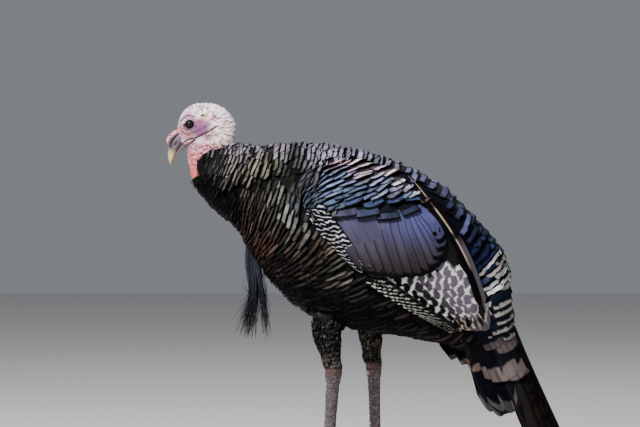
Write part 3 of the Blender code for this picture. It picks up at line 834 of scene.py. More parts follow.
# Lie of the feathers on the flank, by place in the side view (x, z) and way (x, z).
FLANK_LIE = (
    ((-240, 535), (0.97, -0.22)),
    ((-235, 500), (0.90, -0.42)),
    ((-265, 460), (0.75, -0.65)),
    ((-170, 525), (1.0, -0.05)),
    ((-130, 535), (1.0, 0.0)),
    ((-160, 500), (0.94, -0.34)),
    ((-215, 430), (0.99, -0.12)),
    ((-150, 430), (0.97, -0.24)),
    ((-195, 400), (0.88, -0.47)),
    ((-172, 378), (0.66, -0.75)),
    ((-150, 358), (0.42, -0.91)),
    ((-140, 392), (0.72, -0.69)),
    ((-130, 415), (0.85, -0.52)),
    ((-112, 378), (0.66, -0.75)),
    ((-128, 345), (0.30, -0.95)),
    ((-95, 340), (0.36, -0.93)),
    ((-110, 320), (0.12, -0.99)),
    ((-60, 310), (0.15, -0.99)),
    ((-50, 335), (0.42, -0.91)),
    ((0, 320), (0.40, -0.91)),
    ((30, 290), (0.40, -0.90)),
    ((60, 270), (0.35, -0.93)),
    ((110, 240), (0.65, -0.75)),
    ((0, 500), (0.97, -0.2)),
    ((60, 490), (0.95, -0.3)),
    ((100, 470), (0.92, -0.4)),
    ((150, 420), (0.77, -0.64)),
    ((190, 370), (0.64, -0.77)),
    ((205, 330), (0.50, -0.87)),
    ((215, 280), (0.37, -0.93)),
    ((205, 240), (0.22, -0.97)),
)


def flank_lie(points, normals, lies):
    """Turns the lie towards the flank's own table where the surface faces sideways."""
    side = np.column_stack((points[:, 0], points[:, 2])) / MM
    (ways,) = blended(FLANK_LIE, side)
    drape = side_lie(normals, ways)
    share = step(0.15, 0.5, np.abs(normals[:, 1]))[:, None]
    return unit(mix(lies, drape, share))


def lie_at(points):
    """Lie direction, place along the body, angle round it and run from the head, at each point."""
    lies, place_t, angle, run = [], [], [], []
    flat_lie, flat_run = GRID_LIE.reshape(-1, 3), GRID_RUN.reshape(-1)
    for q in points:
        found = GRID_TREE.find_n(q, 4)
        weight = np.array([1 / (f[2] + 1e-4) for f in found])
        ids = np.array([f[1] for f in found])
        lies.append((flat_lie[ids] * weight[:, None]).sum(0))
        run.append((flat_run[ids] * weight).sum() / weight.sum())
        place_t.append(((ids // ROUND) * weight).sum() / weight.sum() / (STATIONS - 1))
        angle.append((ids[0] % ROUND) / ROUND)
    return unit(np.array(lies)), np.array(place_t), np.array(angle), np.array(run)


def scatter_points(count, zone=None):
    """Random points spread evenly over the skin, or one zone of it, with their normals."""
    mesh = skin.data
    mesh.calc_loop_triangles()
    tri = np.empty(len(mesh.loop_triangles) * 3, np.int32)
    mesh.loop_triangles.foreach_get("vertices", tri)
    tri = tri.reshape(-1, 3)
    if zone is not None:
        tri = tri[zone(SKIN_P[tri].mean(axis=1))]
    a, b, c = (SKIN_P[tri[:, k]] for k in range(3))
    flat = np.cross(b - a, c - a)
    area = np.linalg.norm(flat, axis=1)
    pick = rng.choice(len(tri), count, p=area / area.sum())
    r1, r2 = np.sqrt(rng.random(count)), rng.random(count)
    w = np.column_stack((1 - r1, r1 * (1 - r2), r1 * r2))
    points = a[pick] * w[:, :1] + b[pick] * w[:, 1:2] + c[pick] * w[:, 2:]
    return points, unit(flat[pick])


def thin_out(points, lie, normal, along, across, order):
    """Keeps points so that none lies within an oval of another: along the lie by across it."""
    side = unit(np.cross(normal, lie))
    cell = float(max(along.max(), across.max()))
    buckets, kept = {}, []
    keys = np.floor(points / cell).astype(int)
    for i in order:
        kx, ky, kz = keys[i]
        near = [
            j
            for dx in (-1, 0, 1)
            for dy in (-1, 0, 1)
            for dz in (-1, 0, 1)
            for j in buckets.get((kx + dx, ky + dy, kz + dz), ())
        ]
        if near:
            delta = points[near] - points[i]
            length = delta @ lie[i] / along[i]
            width = delta @ side[i] / across[i]
            rise = delta @ normal[i] / cell
            if (length * length + width * width + rise * rise < 1.0).any():
                continue
        kept.append(i)
        buckets.setdefault((kx, ky, kz), []).append(i)
    return np.array(kept, int)


# ---------------------------------------------------------------- feather vanes


def rows_for(length, edge, band, tip):
    """Places of a vane's cross rows, from root to tip, set closely where its bands begin and end."""
    n, soft = len(length), 0.5 * MM
    rows = [np.zeros(n), np.full(n, 0.28), np.full(n, 0.5)]
    for mark in (tip + edge + band, tip + edge, tip):
        rows.append(1 - (mark + soft) / length)
        rows.append(1 - np.maximum(mark - soft, 0) / length)
    rows.append(np.ones(n))
    return np.sort(np.clip(np.column_stack(rows), 0, 1), axis=1)


def vanes(p, lie, normal, length, width, rows, tip_round, low, high, roll, camber, free=0.0, columns=7,
          ragged=0.012, narrow=0.0, base_width=0.45, curve=0.0):
    """Vane meshes for many feathers. Returns positions (feather, row, column, xyz) and (u, v)."""
    n, count = rows.shape
    side = unit(np.cross(normal, lie))
    lie = unit(np.cross(side, normal))
    u = np.linspace(-1, 1, columns)[None, None, :]
    v = rows[:, :, None]

    def each(a):
        return np.broadcast_to(np.asarray(a, float), (n,))[:, None, None]

    broad = mix(base_width, 1.0, step(0.0, 0.5, v)) * (1 - each(narrow) * step(0.55, 1.0, v))
    across = each(width) / 2 * u * broad
    tear = rng.normal(0, 1, (n, 1, columns)) * ragged * step(0.8, 1.0, v)
    along = each(length) * (v - each(tip_round) * np.abs(u) ** 2.4 * v**2 + tear)
    flat = (
        p[:, None, None, :]
        + lie[:, None, None, :] * along[..., None]
        + side[:, None, None, :] * (across + each(curve) * v**2)[..., None]
    )
    height = mix(each(low), each(high), v**1.2) + each(roll) * u * v - each(camber) * u**2 * v
    points = flat.reshape(-1, 3)
    lifted = height.reshape(-1)
    free_amount = np.broadcast_to(each(free) * v**1.5, height.shape).reshape(-1)
    out = np.empty_like(points)
    for i, q in enumerate(points):
        found, face_normal, _, _ = SKIN_TREE.find_nearest(q)
        out[i] = found
        out[i] += np.array(face_normal) * lifted[i]
    straight = (flat + normal[:, None, None, :] * height[..., None]).reshape(-1, 3)
    out = mix(out, straight, free_amount[:, None])
    uv = np.stack(np.broadcast_arrays((u + 1) / 2, v), axis=-1)
    return out.reshape(n, count, columns, 3), uv


def grid_faces(n, rows, columns):
    """Quads of n separate grids of rows by columns of vertices."""
    r, c = np.meshgrid(np.arange(rows - 1), np.arange(columns - 1), indexing="ij")
    first = (r * columns + c).reshape(-1)
    quad = np.column_stack((first, first + 1, first + columns + 1, first + columns))
    return (quad[None] + (np.arange(n) * rows * columns)[:, None, None]).reshape(-1, 4)


def root_patches(root_uv, uv, patch):
    """Each feather's own small patch on the unwrap of the skin, at the place of its root."""
    centred = (uv - 0.5) * patch
    return np.clip(root_uv[:, None, None, :] + centred, 0.0, 1.0)


def strips(n, uv, margin=0.08):
    """One strip of the map for each long feather, side by side."""
    u = (np.arange(n)[:, None, None] + margin + uv[..., 0] * (1 - 2 * margin)) / n
    v = 0.01 + uv[..., 1] * 0.98
    return np.stack((u, v), axis=-1)


def place_vanes(name, points, uv, colours, bake_uv, material, slot, replaced=()):
    n, rows, columns, _ = points.shape
    mesh = mesh_from(name, points.reshape(-1, 3), grid_faces(n, rows, columns))
    paint(mesh, colours.reshape(-1, 4))
    map_uv(mesh, "vane", uv.reshape(-1, 2))
    map_uv(mesh, "OFBake", bake_uv.reshape(-1, 2))
    return place(name, mesh, material, slot, replaced)


def banded(rows, columns, length, base, band, edge_tone, tip_tone, edge, band_width, tip, gloss):
    """Colours of a feather with a dark base, a bright band, a dark edge and sometimes a pale tip."""
    from_tip = (1 - rows) * length[:, None]

    def past(mark):
        return step(0, 1, (mark[:, None] - from_tip) / (1.0 * MM) + 0.5)

    past_band, past_edge = past(tip + edge + band_width), past(tip + edge)
    past_tip = past(tip) * (tip > 0.1 * MM)[:, None]
    rgb = mix(base[:, None, :], band[:, None, :], past_band[..., None])
    rgb = mix(rgb, edge_tone[:, None, :], past_edge[..., None])
    rgb = mix(rgb, tip_tone[:, None, :], past_tip[..., None])
    u = np.linspace(-1, 1, columns)
    sides = 1 - 0.55 * np.abs(u) ** 5
    ids = np.arange(len(rows))[:, None, None] * 31.0
    sides = sides * (0.45 + 1.1 * grain(2.4 * u, 4 * rows[..., None], ids, 55))
    shine = past_band * (1 - past_edge) * gloss[:, None]
    return with_gloss(rgb[:, :, None, :] * sides[..., None], shine[..., None])


# Tracts of body feathers: middle (x, z) in the side view, colour of the bright band, distance from
# row to row, feather width, share of a row that is bright, and how metallic it is. The bands are
# palest along the top of the neck, mantle and back and darken down the sides: partly the
# plumage's own colour, partly painted sheen and light from above.
TRACTS = (
    ((-240, 533), (0.172, 0.141, 0.173), 5.0, 13, 0.44, 0.5),
    ((-205, 538), (0.205, 0.168, 0.212), 7.5, 22, 0.74, 0.6),
    ((-150, 538), (0.218, 0.186, 0.240), 8.5, 30, 0.76, 0.6),
    ((-90, 538), (0.185, 0.166, 0.225), 8.5, 32, 0.72, 0.6),
    ((-20, 532), (0.160, 0.146, 0.200), 8.5, 32, 0.62, 0.6),
    ((-252, 505), (0.030, 0.030, 0.027), 5.1, 17, 0.38, 0.5),
    ((-215, 505), (0.062, 0.059, 0.051), 8.0, 22, 0.53, 0.6),
    ((-180, 505), (0.085, 0.075, 0.056), 8.8, 26, 0.54, 0.6),
    ((-155, 503), (0.098, 0.102, 0.066), 8.8, 29, 0.54, 0.6),
    ((-125, 515), (0.059, 0.056, 0.052), 8.8, 29, 0.49, 0.6),
    ((-275, 465), (0.002, 0.002, 0.002), 6.0, 16, 0.30, 0.3),
    ((-250, 440), (0.004, 0.003, 0.002), 6.5, 18, 0.40, 0.3),
    ((-232, 455), (0.005, 0.004, 0.003), 6.5, 18, 0.40, 0.3),
    ((-213, 440), (0.012, 0.010, 0.008), 6.5, 20, 0.50, 0.5),
    ((-195, 408), (0.034, 0.018, 0.015), 6.1, 30, 0.50, 0.6),
    ((-178, 445), (0.040, 0.034, 0.029), 6.1, 30, 0.52, 0.6),
    ((-155, 450), (0.060, 0.053, 0.045), 6.8, 32, 0.55, 0.6),
    ((-168, 378), (0.035, 0.016, 0.012), 6.3, 34, 0.52, 0.7),
    ((-150, 410), (0.045, 0.033, 0.025), 6.5, 35, 0.54, 0.7),
    ((-132, 445), (0.069, 0.073, 0.067), 11.0, 31, 0.55, 0.6),
    ((-114, 440), (0.045, 0.055, 0.057), 15.0, 33, 0.55, 0.6),
    ((-104, 405), (0.075, 0.075, 0.061), 12.0, 33, 0.58, 0.6),
    ((-82, 383), (0.066, 0.047, 0.034), 7.2, 38, 0.55, 0.7),
    ((-130, 375), (0.036, 0.027, 0.021), 6.5, 36, 0.50, 0.6),
    ((-138, 342), (0.014, 0.009, 0.008), 7.0, 32, 0.45, 0.5),
    ((-100, 345), (0.028, 0.023, 0.018), 8.0, 34, 0.45, 0.6),
    ((-50, 335), (0.046, 0.044, 0.033), 8.0, 34, 0.42, 0.6),
    ((-20, 315), (0.014, 0.013, 0.012), 8.0, 34, 0.38, 0.5),
    ((-95, 308), (0.004, 0.004, 0.004), 8.0, 34, 0.35, 0.3),
    ((-50, 290), (0.005, 0.005, 0.004), 9.0, 36, 0.32, 0.3),
    ((0, 275), (0.004, 0.004, 0.004), 10.0, 38, 0.32, 0.3),
    ((55, 272), (0.054, 0.037, 0.038), 12.0, 34, 0.40, 0.2),
    ((50, 250), (0.006, 0.006, 0.006), 12.0, 34, 0.32, 0.2),
    ((110, 240), (0.023, 0.017, 0.015), 12.0, 34, 0.40, 0.2),
    ((30, 520), (0.125, 0.122, 0.160), 12.0, 38, 0.52, 0.6),
    ((75, 500), (0.090, 0.098, 0.185), 15.0, 44, 0.52, 0.6),
    ((125, 470), (0.088, 0.098, 0.200), 18.0, 50, 0.55, 0.6),
    ((160, 435), (0.068, 0.080, 0.175), 17.5, 50, 0.55, 0.6),
    ((195, 398), (0.036, 0.048, 0.130), 14.6, 50, 0.52, 0.6),
    ((120, 440), (0.026, 0.034, 0.095), 16.5, 50, 0.50, 0.6),
    ((155, 385), (0.010, 0.015, 0.045), 16.0, 50, 0.45, 0.5),
    ((185, 360), (0.014, 0.022, 0.070), 15.0, 50, 0.45, 0.6),
    ((214, 365), (0.030, 0.041, 0.100), 15.5, 50, 0.42, 0.6),
    ((218, 335), (0.022, 0.034, 0.062), 23.2, 42, 0.30, 0.5),
    ((208, 290), (0.022, 0.034, 0.062), 24.6, 42, 0.30, 0.5),
)


def tract_values(p):
    """Tone, row distance, width, bright share and gloss at each place, blended between tracts."""
    side = np.column_stack((p[:, 0], p[:, 2])) / MM
    return blended(TRACTS, side, soft=6.0)


def varied(tone, amount=0.25, hue=0.08):
    """Colours that differ a little from feather to feather."""
    n = len(tone)
    light = np.exp(rng.normal(0, amount, (n, 1)))
    return np.clip(tone * light * (1 + rng.normal(0, hue, (n, 3))), 0, 1)


FEATHER_OVERLAP = 4.4  # a feather is this many rows long


def lie_field():
    """Lie at every point of the body's grid, turned to the flank's own on its sides."""
    along, around = np.gradient(GRID, axis=0), np.roll(GRID, -1, 1) - np.roll(GRID, 1, 1)
    normal = unit(np.cross(around, along))
    centre = GRID.mean(axis=1, keepdims=True)
    normal = normal * np.sign(((GRID - centre) * normal).sum(-1, keepdims=True))
    flat = GRID.reshape(-1, 3)
    return flank_lie(flat, normal.reshape(-1, 3), GRID_LIE.reshape(-1, 3)).reshape(GRID.shape)


def row_field(grid, lie, space, first, wrap):
    """Counts feather rows over a grid of points: a height whose slope follows the lie everywhere.

    Solved by least squares over the grid's edges, with conjugate gradients from a first guess."""

    def slope(axis):
        ahead = np.roll(grid, -1, axis) - grid
        middle = unit(np.roll(lie, -1, axis) + lie)
        return (ahead * middle).sum(-1) / (0.5 * (space + np.roll(space, -1, axis)))

    keep_down, keep_round = np.ones(space.shape), np.ones(space.shape)
    keep_down[-1] = 0
    keep_round[:, -1] = 1 if wrap else 0

    def spread(a, b):
        """Adjoint of taking differences along both directions of the grid."""
        a, b = a * keep_down, b * keep_round
        return np.roll(a, 1, 0) - a + np.roll(b, 1, 1) - b

    def both(f):
        return spread(np.roll(f, -1, 0) - f, np.roll(f, -1, 1) - f)

    rows_done = first.copy()
    residual = spread(slope(0), slope(1)) - both(rows_done)
    search, size = residual.copy(), (residual**2).sum()
    for _ in range(900):
        pushed = both(search)
        pace = size / (search * pushed).sum()
        rows_done = rows_done + pace * search
        residual = residual - pace * pushed
        new_size = (residual**2).sum()
        if new_size < 1e-9:
            break
        search, size = residual + new_size / size * search, new_size
    return rows_done


def row_places(grid, field, width_at, wrap):
    """Roots row by row like tiles, with their places down and across the grid from 0 to 1."""
    down, columns = field.shape
    roots, places = [], []
    for row in range(int(field.min()), int(field.max()) + 1):
        line, t = np.full((columns, 3), np.nan), np.zeros(columns)
        for j in range(columns):
            above = np.where((field[:-1, j] < row) & (field[1:, j] >= row))[0]
            if len(above):
                i = above[0]
                f = (row - field[i, j]) / (field[i + 1, j] - field[i, j])
                line[j] = mix(grid[i, j], grid[i + 1, j], f)
                t[j] = (i + f) / (down - 1)
        ends = np.roll(line, -1, 0)
        gap = np.linalg.norm(ends - line, axis=1)
        if not wrap:
            gap[-1] = np.nan
        width = width_at(np.nan_to_num(line)) * TILE_SPACING
        ahead, j, done = (row % 2) * 0.5 * width[0] + 1e-6, 0, 0.0
        while j < columns:
            if np.isnan(gap[j]) or gap[j] > 30 * MM:
                j, done = j + 1, 0.0
                continue
            if done + ahead > gap[j]:
                ahead -= gap[j] - done
                j, done = j + 1, 0.0
                continue
            done += ahead
            roots.append(mix(line[j], ends[j], done / gap[j]))
            places.append((mix(t[j], t[(j + 1) % columns], done / gap[j]), (j + done / gap[j]) / columns))
            ahead = width[j]
    return np.array(roots), np.array(places)


TILE_SPACING = 0.70  # from feather to feather along a row, as a share of a feather's width


def body_rows():
    space = tract_values(GRID.reshape(-1, 3))[1].reshape(STATIONS, ROUND) * MM
    field = row_field(GRID, lie_field(), space, GRID_RUN / np.median(space), True)
    return row_places(GRID, field, lambda line: tract_values(line)[2] * MM, True)


WING_OUT = 0.045  # metres; the wings' outer face lies farther out than this


def wing_shade(p):
    """True for points of the trunk that a folded wing's flight feathers hide."""
    hidden = np.zeros(len(p), bool)
    for side, sign in SIDES:
        tree = tree_of_nodes(f"flight_feathers_{side}")
        for i in np.where(p[:, 1] * sign > 0)[0]:
            hidden[i] = tree.ray_cast(Vector(p[i]), Vector((0, sign, 0)))[0] is not None
    return hidden


def on_wing(p):
    """True for points of the skin that lie on a folded wing's arm, by their place in its side view."""
    inside = np.zeros(len(p), bool)
    for side, sign in SIDES:
        tree = tree_of_nodes(f"wing_{side}")
        for i in np.where(p[:, 1] * sign > WING_OUT)[0]:
            start = Vector((p[i, 0], sign * FAR, p[i, 2]))
            inside[i] = tree.ray_cast(start, Vector((0, -sign, 0)))[0] is not None
    return inside


def thigh_part(p):
    """True for points that are nearer to a leg's feathered solid than to the trunk."""
    legs = tree_of_nodes("thigh_left", "thigh_right")
    trunk = tree_of_nodes("trunk")
    part = np.zeros(len(p), bool)
    for i in np.where((p[:, 2] < 265 * MM) & (p[:, 0] < 60 * MM))[0]:
        at = Vector(p[i])
        part[i] = legs.find_nearest(at)[3] < trunk.find_nearest(at)[3] + 1.5 * MM
    return part


CANDIDATES = 70000
cand_p, cand_n = scatter_points(CANDIDATES)
is_thigh = (cand_p[:, 2] > HOCK - 1 * MM) & (cand_p[:, 2] < 270 * MM) & thigh_part(cand_p)

# Painted shadow: the dark line under the ragged edge of the mantle, which opens in front of the wing.
SHADED_NOTCH = ((-262, 470), (-232, 464), (-200, 472), (-170, 479), (-150, 484), (-135, 488), (-121, 488))
SHADED_NOTCH_X, SHADED_NOTCH_HALF = (-262, -232, -200, -170, -150, -135, -121), (13, 8, 7, 9, 15, 20, 20)


def coat_roots():
    """Roots of the feathers that show on the body: points, normals, lie and places on the grid."""
    roots, places = body_rows()
    p, n = (np.array(a, float) for a in zip(*(nearest_skin(root) for root in roots)))
    count = len(p)
    lie = flank_lie(p, n, lie_at(p)[0])
    p = p + lie * rng.normal(0, 0.4 * MM, (count, 1)) + np.cross(n, lie) * rng.normal(0, 1.2 * MM, (count, 1))
    shown = (bareness(p) < -0.5 * MM) & (p[:, 2] > HOCK) & ~thigh_part(p) & ~on_wing(p) & ~wing_shade(p)
    return p[shown], n[shown], lie[shown], places[shown]


def notch_shade_at(p, x, z):
    """1 in the mantle's shaded opening, where shadow is painted, for feathers of the flank whose tips are at
    (x, z).
    """
    reach = distance_to_line(x, z, SHADED_NOTCH) / np.interp(x, SHADED_NOTCH_X, SHADED_NOTCH_HALF)
    return np.exp(-(reach**4)) * (np.abs(p[:, 1]) > 25 * MM)


def patchiness(end, x, z):
    """How bright the coat is from patch to patch; the rear half and the nape are more even."""
    uneven = 1 - 0.65 * np.maximum(step(20, 70, x), step(512, 530, z) * step(-250, -225, x))
    wide, fine = noise(end / MM, 18.0, 51) - 0.5, noise(end / MM, 7.0, 52) - 0.5
    return np.exp(uneven * (1.8 * wide + 1.6 * fine))


def place_coat(points, uv, rgba, places):
    """The coat's three pieces, each with its own unwrap."""
    t, angle = places.T
    root_uv = np.column_stack((0.02 + 0.96 * t, 0.02 + 0.96 * angle))
    on_front, on_belly = t < 0.3, np.abs(angle - 0.5) < 0.27
    for name, part in (
        ("neck_feathers", on_front),
        ("breast_feathers", ~on_front & on_belly),
        ("back_feathers", ~on_front & ~on_belly),
    ):
        low, high = root_uv[part].min(0), root_uv[part].max(0)
        local = 0.02 + 0.96 * (root_uv[part] - low) / (high - low)
        patches = root_patches(local, uv[part], 0.016)
        place_vanes(name, points[part], uv[part], rgba[part], patches, PLUMAGE, "plumage")


def body_feathers():
    """Rows of banded feathers from the neck to the rump, sized and coloured by their tracts."""
    p, n, lie, places = coat_roots()
    count = len(p)
    length = tract_values(p)[1] * MM * FEATHER_OVERLAP
    end = p + lie * (length * 0.9)[:, None]
    x, z = end[:, 0] / MM, end[:, 2] / MM
    tone, space, width, share, gloss = tract_values(end)
    space, width = space * MM, width * MM * rng.uniform(0.92, 1.1, count)
    length = np.minimum(length * rng.uniform(0.96, 1.06, count), 1.7 * space - 0.8 * bareness(p))
    band = space * share * rng.uniform(0.85, 1.15, count)
    edge = space * (0.92 - share) * 0.45 + 0.5 * MM
    # Painted shadow: in the notch the feathers are sunk, darkened almost to black and lose their gloss.
    notch_shade = notch_shade_at(p, x, z)
    depth = coat_depth(p) * (1 - 0.7 * notch_shade)
    tone = tone * (1 - 0.97 * notch_shade)[:, None]
    gloss = gloss * (1 - 0.95 * notch_shade)
    white_tip = step(168, 180, x) * step(240, 248, z) * step(364, 356, z)
    tip = 6.5 * MM * white_tip * rng.uniform(0.8, 1.2, count)
    tip_tone = varied(np.tile(colour(0.39, 0.375, 0.35), (count, 1)), 0.28, 0.04)
    edge_tone = np.tile(colour(0.0025, 0.0025, 0.003), (count, 1))
    bright = varied(tone * patchiness(end, x, z)[:, None], 0.25, 0.05)
    base = tone * 0.05 + 0.002
    rows, columns = rows_for(length, edge, band, tip), 9
    rgba = banded(rows, columns, length, base, bright, edge_tone, tip_tone, edge, band, tip, gloss)
    scale = np.clip(length / (40 * MM), 0.4, 1.2)
    points, uv = vanes(
        p, lie, n, length, width, rows, rng.uniform(0.01, 0.05, count),
        low=np.maximum(0.1 * depth - 0.6 * MM, 0.15 * MM),
        high=np.maximum(depth * rng.uniform(0.9, 1.12, count), 1.6 * MM),
        roll=rng.normal(0, 0.5, count) * MM * scale, camber=0.35 * MM * scale, free=0.12, ragged=0.016,
        columns=columns,
    )
    place_coat(points, uv, rgba, places)


# ---------------------------------------------------------------- wing coverts

# Middle (x, z), lie (x, z), distance of rows, length, width, band colour, band, edge, gloss.
WING_TRACTS = (
    ((-112, 470), (0.90, -0.45), 4.6, 17, 16, (0.051, 0.049, 0.056), 2.0, 1.4, 0.5),
    ((-100, 500), (0.70, -0.70), 4.8, 19, 20, (0.064, 0.060, 0.076), 2.2, 1.2, 0.5),
    ((-88, 475), (0.35, -0.94), 5.0, 21, 24, (0.064, 0.085, 0.136), 2.6, 1.2, 0.7),
    ((-88, 446), (0.45, -0.89), 5.2, 21, 22, (0.041, 0.053, 0.079), 2.6, 1.4, 0.6),
    ((-50, 485), (0.25, -0.97), 5.6, 24, 32, (0.140, 0.200, 0.380), 3.0, 1.2, 0.8),
    ((-20, 465), (0.36, -0.93), 6.4, 27, 34, (0.046, 0.068, 0.125), 3.6, 1.5, 0.8),
    ((-50, 448), (0.40, -0.91), 8.0, 32, 34, (0.034, 0.050, 0.082), 5.0, 1.8, 0.7),
    ((15, 475), (0.50, -0.86), 6.4, 27, 32, (0.165, 0.215, 0.390), 3.4, 1.4, 0.8),
    # The next five rows, pinkish-white on the scapulars, are painted highlights: light glancing off the top
    # of the wing.
    ((45, 490), (0.62, -0.78), 6.6, 28, 32, (0.930, 0.760, 0.850), 4.3, 1.4, 0.5),
    ((70, 478), (0.66, -0.75), 7.0, 28, 30, (0.900, 0.770, 0.840), 4.3, 1.6, 0.5),
    ((10, 502), (0.45, -0.89), 6.4, 27, 34, (0.880, 0.700, 0.800), 4.2, 1.4, 0.5),
    ((-20, 515), (0.30, -0.95), 6.4, 26, 36, (0.765, 0.548, 0.575), 3.4, 1.6, 0.4),
    ((-55, 512), (0.35, -0.94), 5.6, 24, 32, (0.690, 0.497, 0.524), 2.8, 1.5, 0.4),
    ((-75, 500), (0.45, -0.89), 5.2, 22, 26, (0.064, 0.072, 0.111), 2.6, 1.4, 0.6),
    ((45, 462), (0.45, -0.89), 8.5, 34, 32, (0.071, 0.098, 0.173), 5.5, 2.2, 0.7),
    ((86, 452), (0.55, -0.83), 9.0, 34, 28, (0.165, 0.116, 0.101), 5.0, 2.2, 0.3),
    ((60, 474), (0.55, -0.83), 7.5, 30, 30, (0.360, 0.360, 0.500), 4.4, 1.8, 0.6),
)
# Large median plates: middle of the tip (x, z), lie, length, width, colour, band, edge, gloss.
MEDIAN_PLATES = (
    ((-66, 431), (0.45, -0.9), 36, 26, (0.028, 0.036, 0.064), 9, 2.6, 0.7),
    ((-40, 423), (0.10, -1.0), 44, 36, (0.034, 0.041, 0.071), 11, 3.6, 0.7),
    ((-10, 420), (0.12, -1.0), 44, 40, (0.037, 0.045, 0.080), 12, 3.8, 0.8),
    ((24, 416), (0.10, -1.0), 44, 38, (0.031, 0.041, 0.074), 9, 4.0, 0.8),
    ((52, 421), (0.24, -1.0), 40, 32, (0.028, 0.036, 0.071), 8, 3.6, 0.7),
    ((-28, 440), (0.35, -0.94), 38, 32, (0.037, 0.050, 0.102), 12, 2.8, 0.8),
    ((2, 436), (0.25, -0.97), 40, 34, (0.040, 0.050, 0.102), 9, 3.2, 0.8),
    ((30, 436), (0.25, -0.97), 40, 30, (0.034, 0.045, 0.102), 7, 3.0, 0.8),
    ((56, 438), (0.15, -1.0), 38, 30, (0.040, 0.061, 0.141), 8, 3.0, 0.7),
    ((80, 438), (0.45, -0.9), 34, 26, (0.114, 0.068, 0.071), 9, 3.0, 0.2),
    ((95, 430), (0.60, -0.8), 30, 22, (0.057, 0.036, 0.041), 8, 3.0, 0.2),
)
# The small coverts have their roots above this line (x, z); the median plates begin there.
COVERT_EDGE = (-118, -92, -70, -45, -20, 30, 70, 110), (436, 444, 462, 470, 474, 474, 476, 452)


def vane_set(p, n, lie, length, width, tone, band, edge, gloss, depth,
             tip_round=(0.05, 0.12), roll=0.7, free=0.1, columns=7, spread=0.25):
    """Banded vanes with the usual jitter: points, vane coordinates and colours."""
    count = len(p)
    no_tip = np.zeros(count)
    rows = rows_for(length, edge, band, no_tip)
    edge_tone = np.tile(colour(0.003, 0.003, 0.0035), (count, 1))
    base, bright = tone * 0.06 + 0.0025, varied(tone, spread)
    rgba = banded(rows, columns, length, base, bright, edge_tone, edge_tone, edge, band, no_tip, gloss)
    scale = np.clip(length / (40 * MM), 0.3, 1.2)
    points, uv = vanes(
        p, lie, n, length, width, rows, rng.uniform(*tip_round, count),
        low=np.maximum(0.1 * depth - 0.6 * MM, 0.15 * MM), high=depth * rng.uniform(0.85, 1.1, count),
        roll=rng.normal(0, roll, count) * MM * scale, camber=0.4 * MM * scale, free=free, columns=columns,
    )
    return points, uv, rgba


WING_WAY = (0.5, -0.866)  # the wing's grid runs this way in the side view
WING_GRID = (-60.0, 560.0), 150, 240, 3.0  # its first corner, its extent down and across, its cells


def wing_rows():
    """Roots of the small wing coverts in the side view of the left wing."""
    (x0, z0), deep, broad, cell = WING_GRID
    steps = np.arange(0, deep, cell), np.arange(-broad / 2, broad / 2, cell)
    down, across = np.meshgrid(*steps, indexing="ij")
    wx, wz = WING_WAY
    x, z = x0 + wx * down - wz * across, z0 + wz * down + wx * across
    grid = np.stack((x, 0 * x, z), -1) * MM
    values = blended(WING_TRACTS, np.column_stack((x.ravel(), z.ravel())))
    ways, space = unit(values[0]), values[1].reshape(x.shape) * MM
    lie = np.stack((ways[:, 0], 0 * ways[:, 0], ways[:, 1]), -1).reshape(grid.shape)
    field = row_field(grid, lie, space, down * MM / np.median(space), False)

    def width_at(line):
        return blended(WING_TRACTS, line[:, [0, 2]] / MM)[3] * MM

    return row_places(grid, field, width_at, False)[0]


def small_coverts():
    found = []
    for root in wing_rows():
        x, _, z = root + rng.normal(0, 0.5 * MM, 3)
        if z / MM >= np.interp(x / MM, *COVERT_EDGE):
            found += [skin_from_side(x, z, sign) for sign in (-1, 1)]
    p, n = (np.array(a, float) for a in zip(*(pair for pair in found if pair[0] is not None)))
    shown = on_wing(p)
    p, n = p[shown], n[shown]
    at = p[:, [0, 2]] / MM
    ways, _, length = blended(WING_TRACTS, at)[:3]
    lie = side_lie(n, ways)
    ends = at + lie[:, [0, 2]] * (0.85 * length)[:, None]
    _, _, length, width, tone, band, edge, gloss = blended(WING_TRACTS, ends)
    length, width, band, edge = (
        a * MM * rng.uniform(0.93, 1.08, len(p)) for a in (length, width, 1.4 * band, 0.85 * edge)
    )
    patchy = np.exp(0.9 * (noise(p / MM, 14.0, 53) - 0.5) + 0.6 * (noise(p / MM, 5.0, 54) - 0.5))
    points, uv, rgba = vane_set(
        p, n, lie, length, width, 0.82 * tone * patchy[:, None], band, edge, gloss, coat_depth(p),
        tip_round=(0.02, 0.08), roll=0.5, spread=0.2,
    )
    patches = root_patches(wing_uv(at, p[:, 1]), uv, 0.014)
    place_vanes("wing_coverts", points, uv, rgba, patches, COVERT, "coverts")


def median_coverts():
    plates = []
    for plate in MEDIAN_PLATES:
        tip, way, length = plate[:3]
        x, z = (np.array(tip) - unit(np.array(way, float)) * length) * MM
        plates += [(*skin_from_side(x, z, sign), *plate[1:]) for sign in (-1, 1)]
    p, n, ways, length, width, tone, band, edge, gloss = (np.array(column, float) for column in zip(*plates))
    points, uv, rgba = vane_set(
        p, n, side_lie(n, ways), length * MM, width * MM, tone, band * MM, edge * MM, gloss,
        coat_depth(p) + 0.5 * MM, tip_round=(0.03, 0.06), roll=0.3, free=0.0, columns=9, spread=0.14,
    )
    place_vanes("median_coverts", points, uv, rgba, strips(len(p), uv), COVERT, "coverts")


def wing_uv(at, y):
    """Place on the unwrap of the wings: side view, left wing below, right wing above."""
    u = np.clip((at[:, 0] + 125) / 250, 0.02, 0.98)
    v = np.clip((at[:, 1] - 270) / 260, 0.02, 0.98) * 0.46 + 0.02
    return np.column_stack((u, np.where(y < 0, v, v + 0.5)))


# ---------------------------------------------------------------- wing quills


WING_SIDE = tree_of_nodes("trunk", "rump", "wing_left", "flight_feathers_left")
TAIL_SIDE = tree_of_nodes("trunk", "rump", "tail_middle", "tail_outer_left")


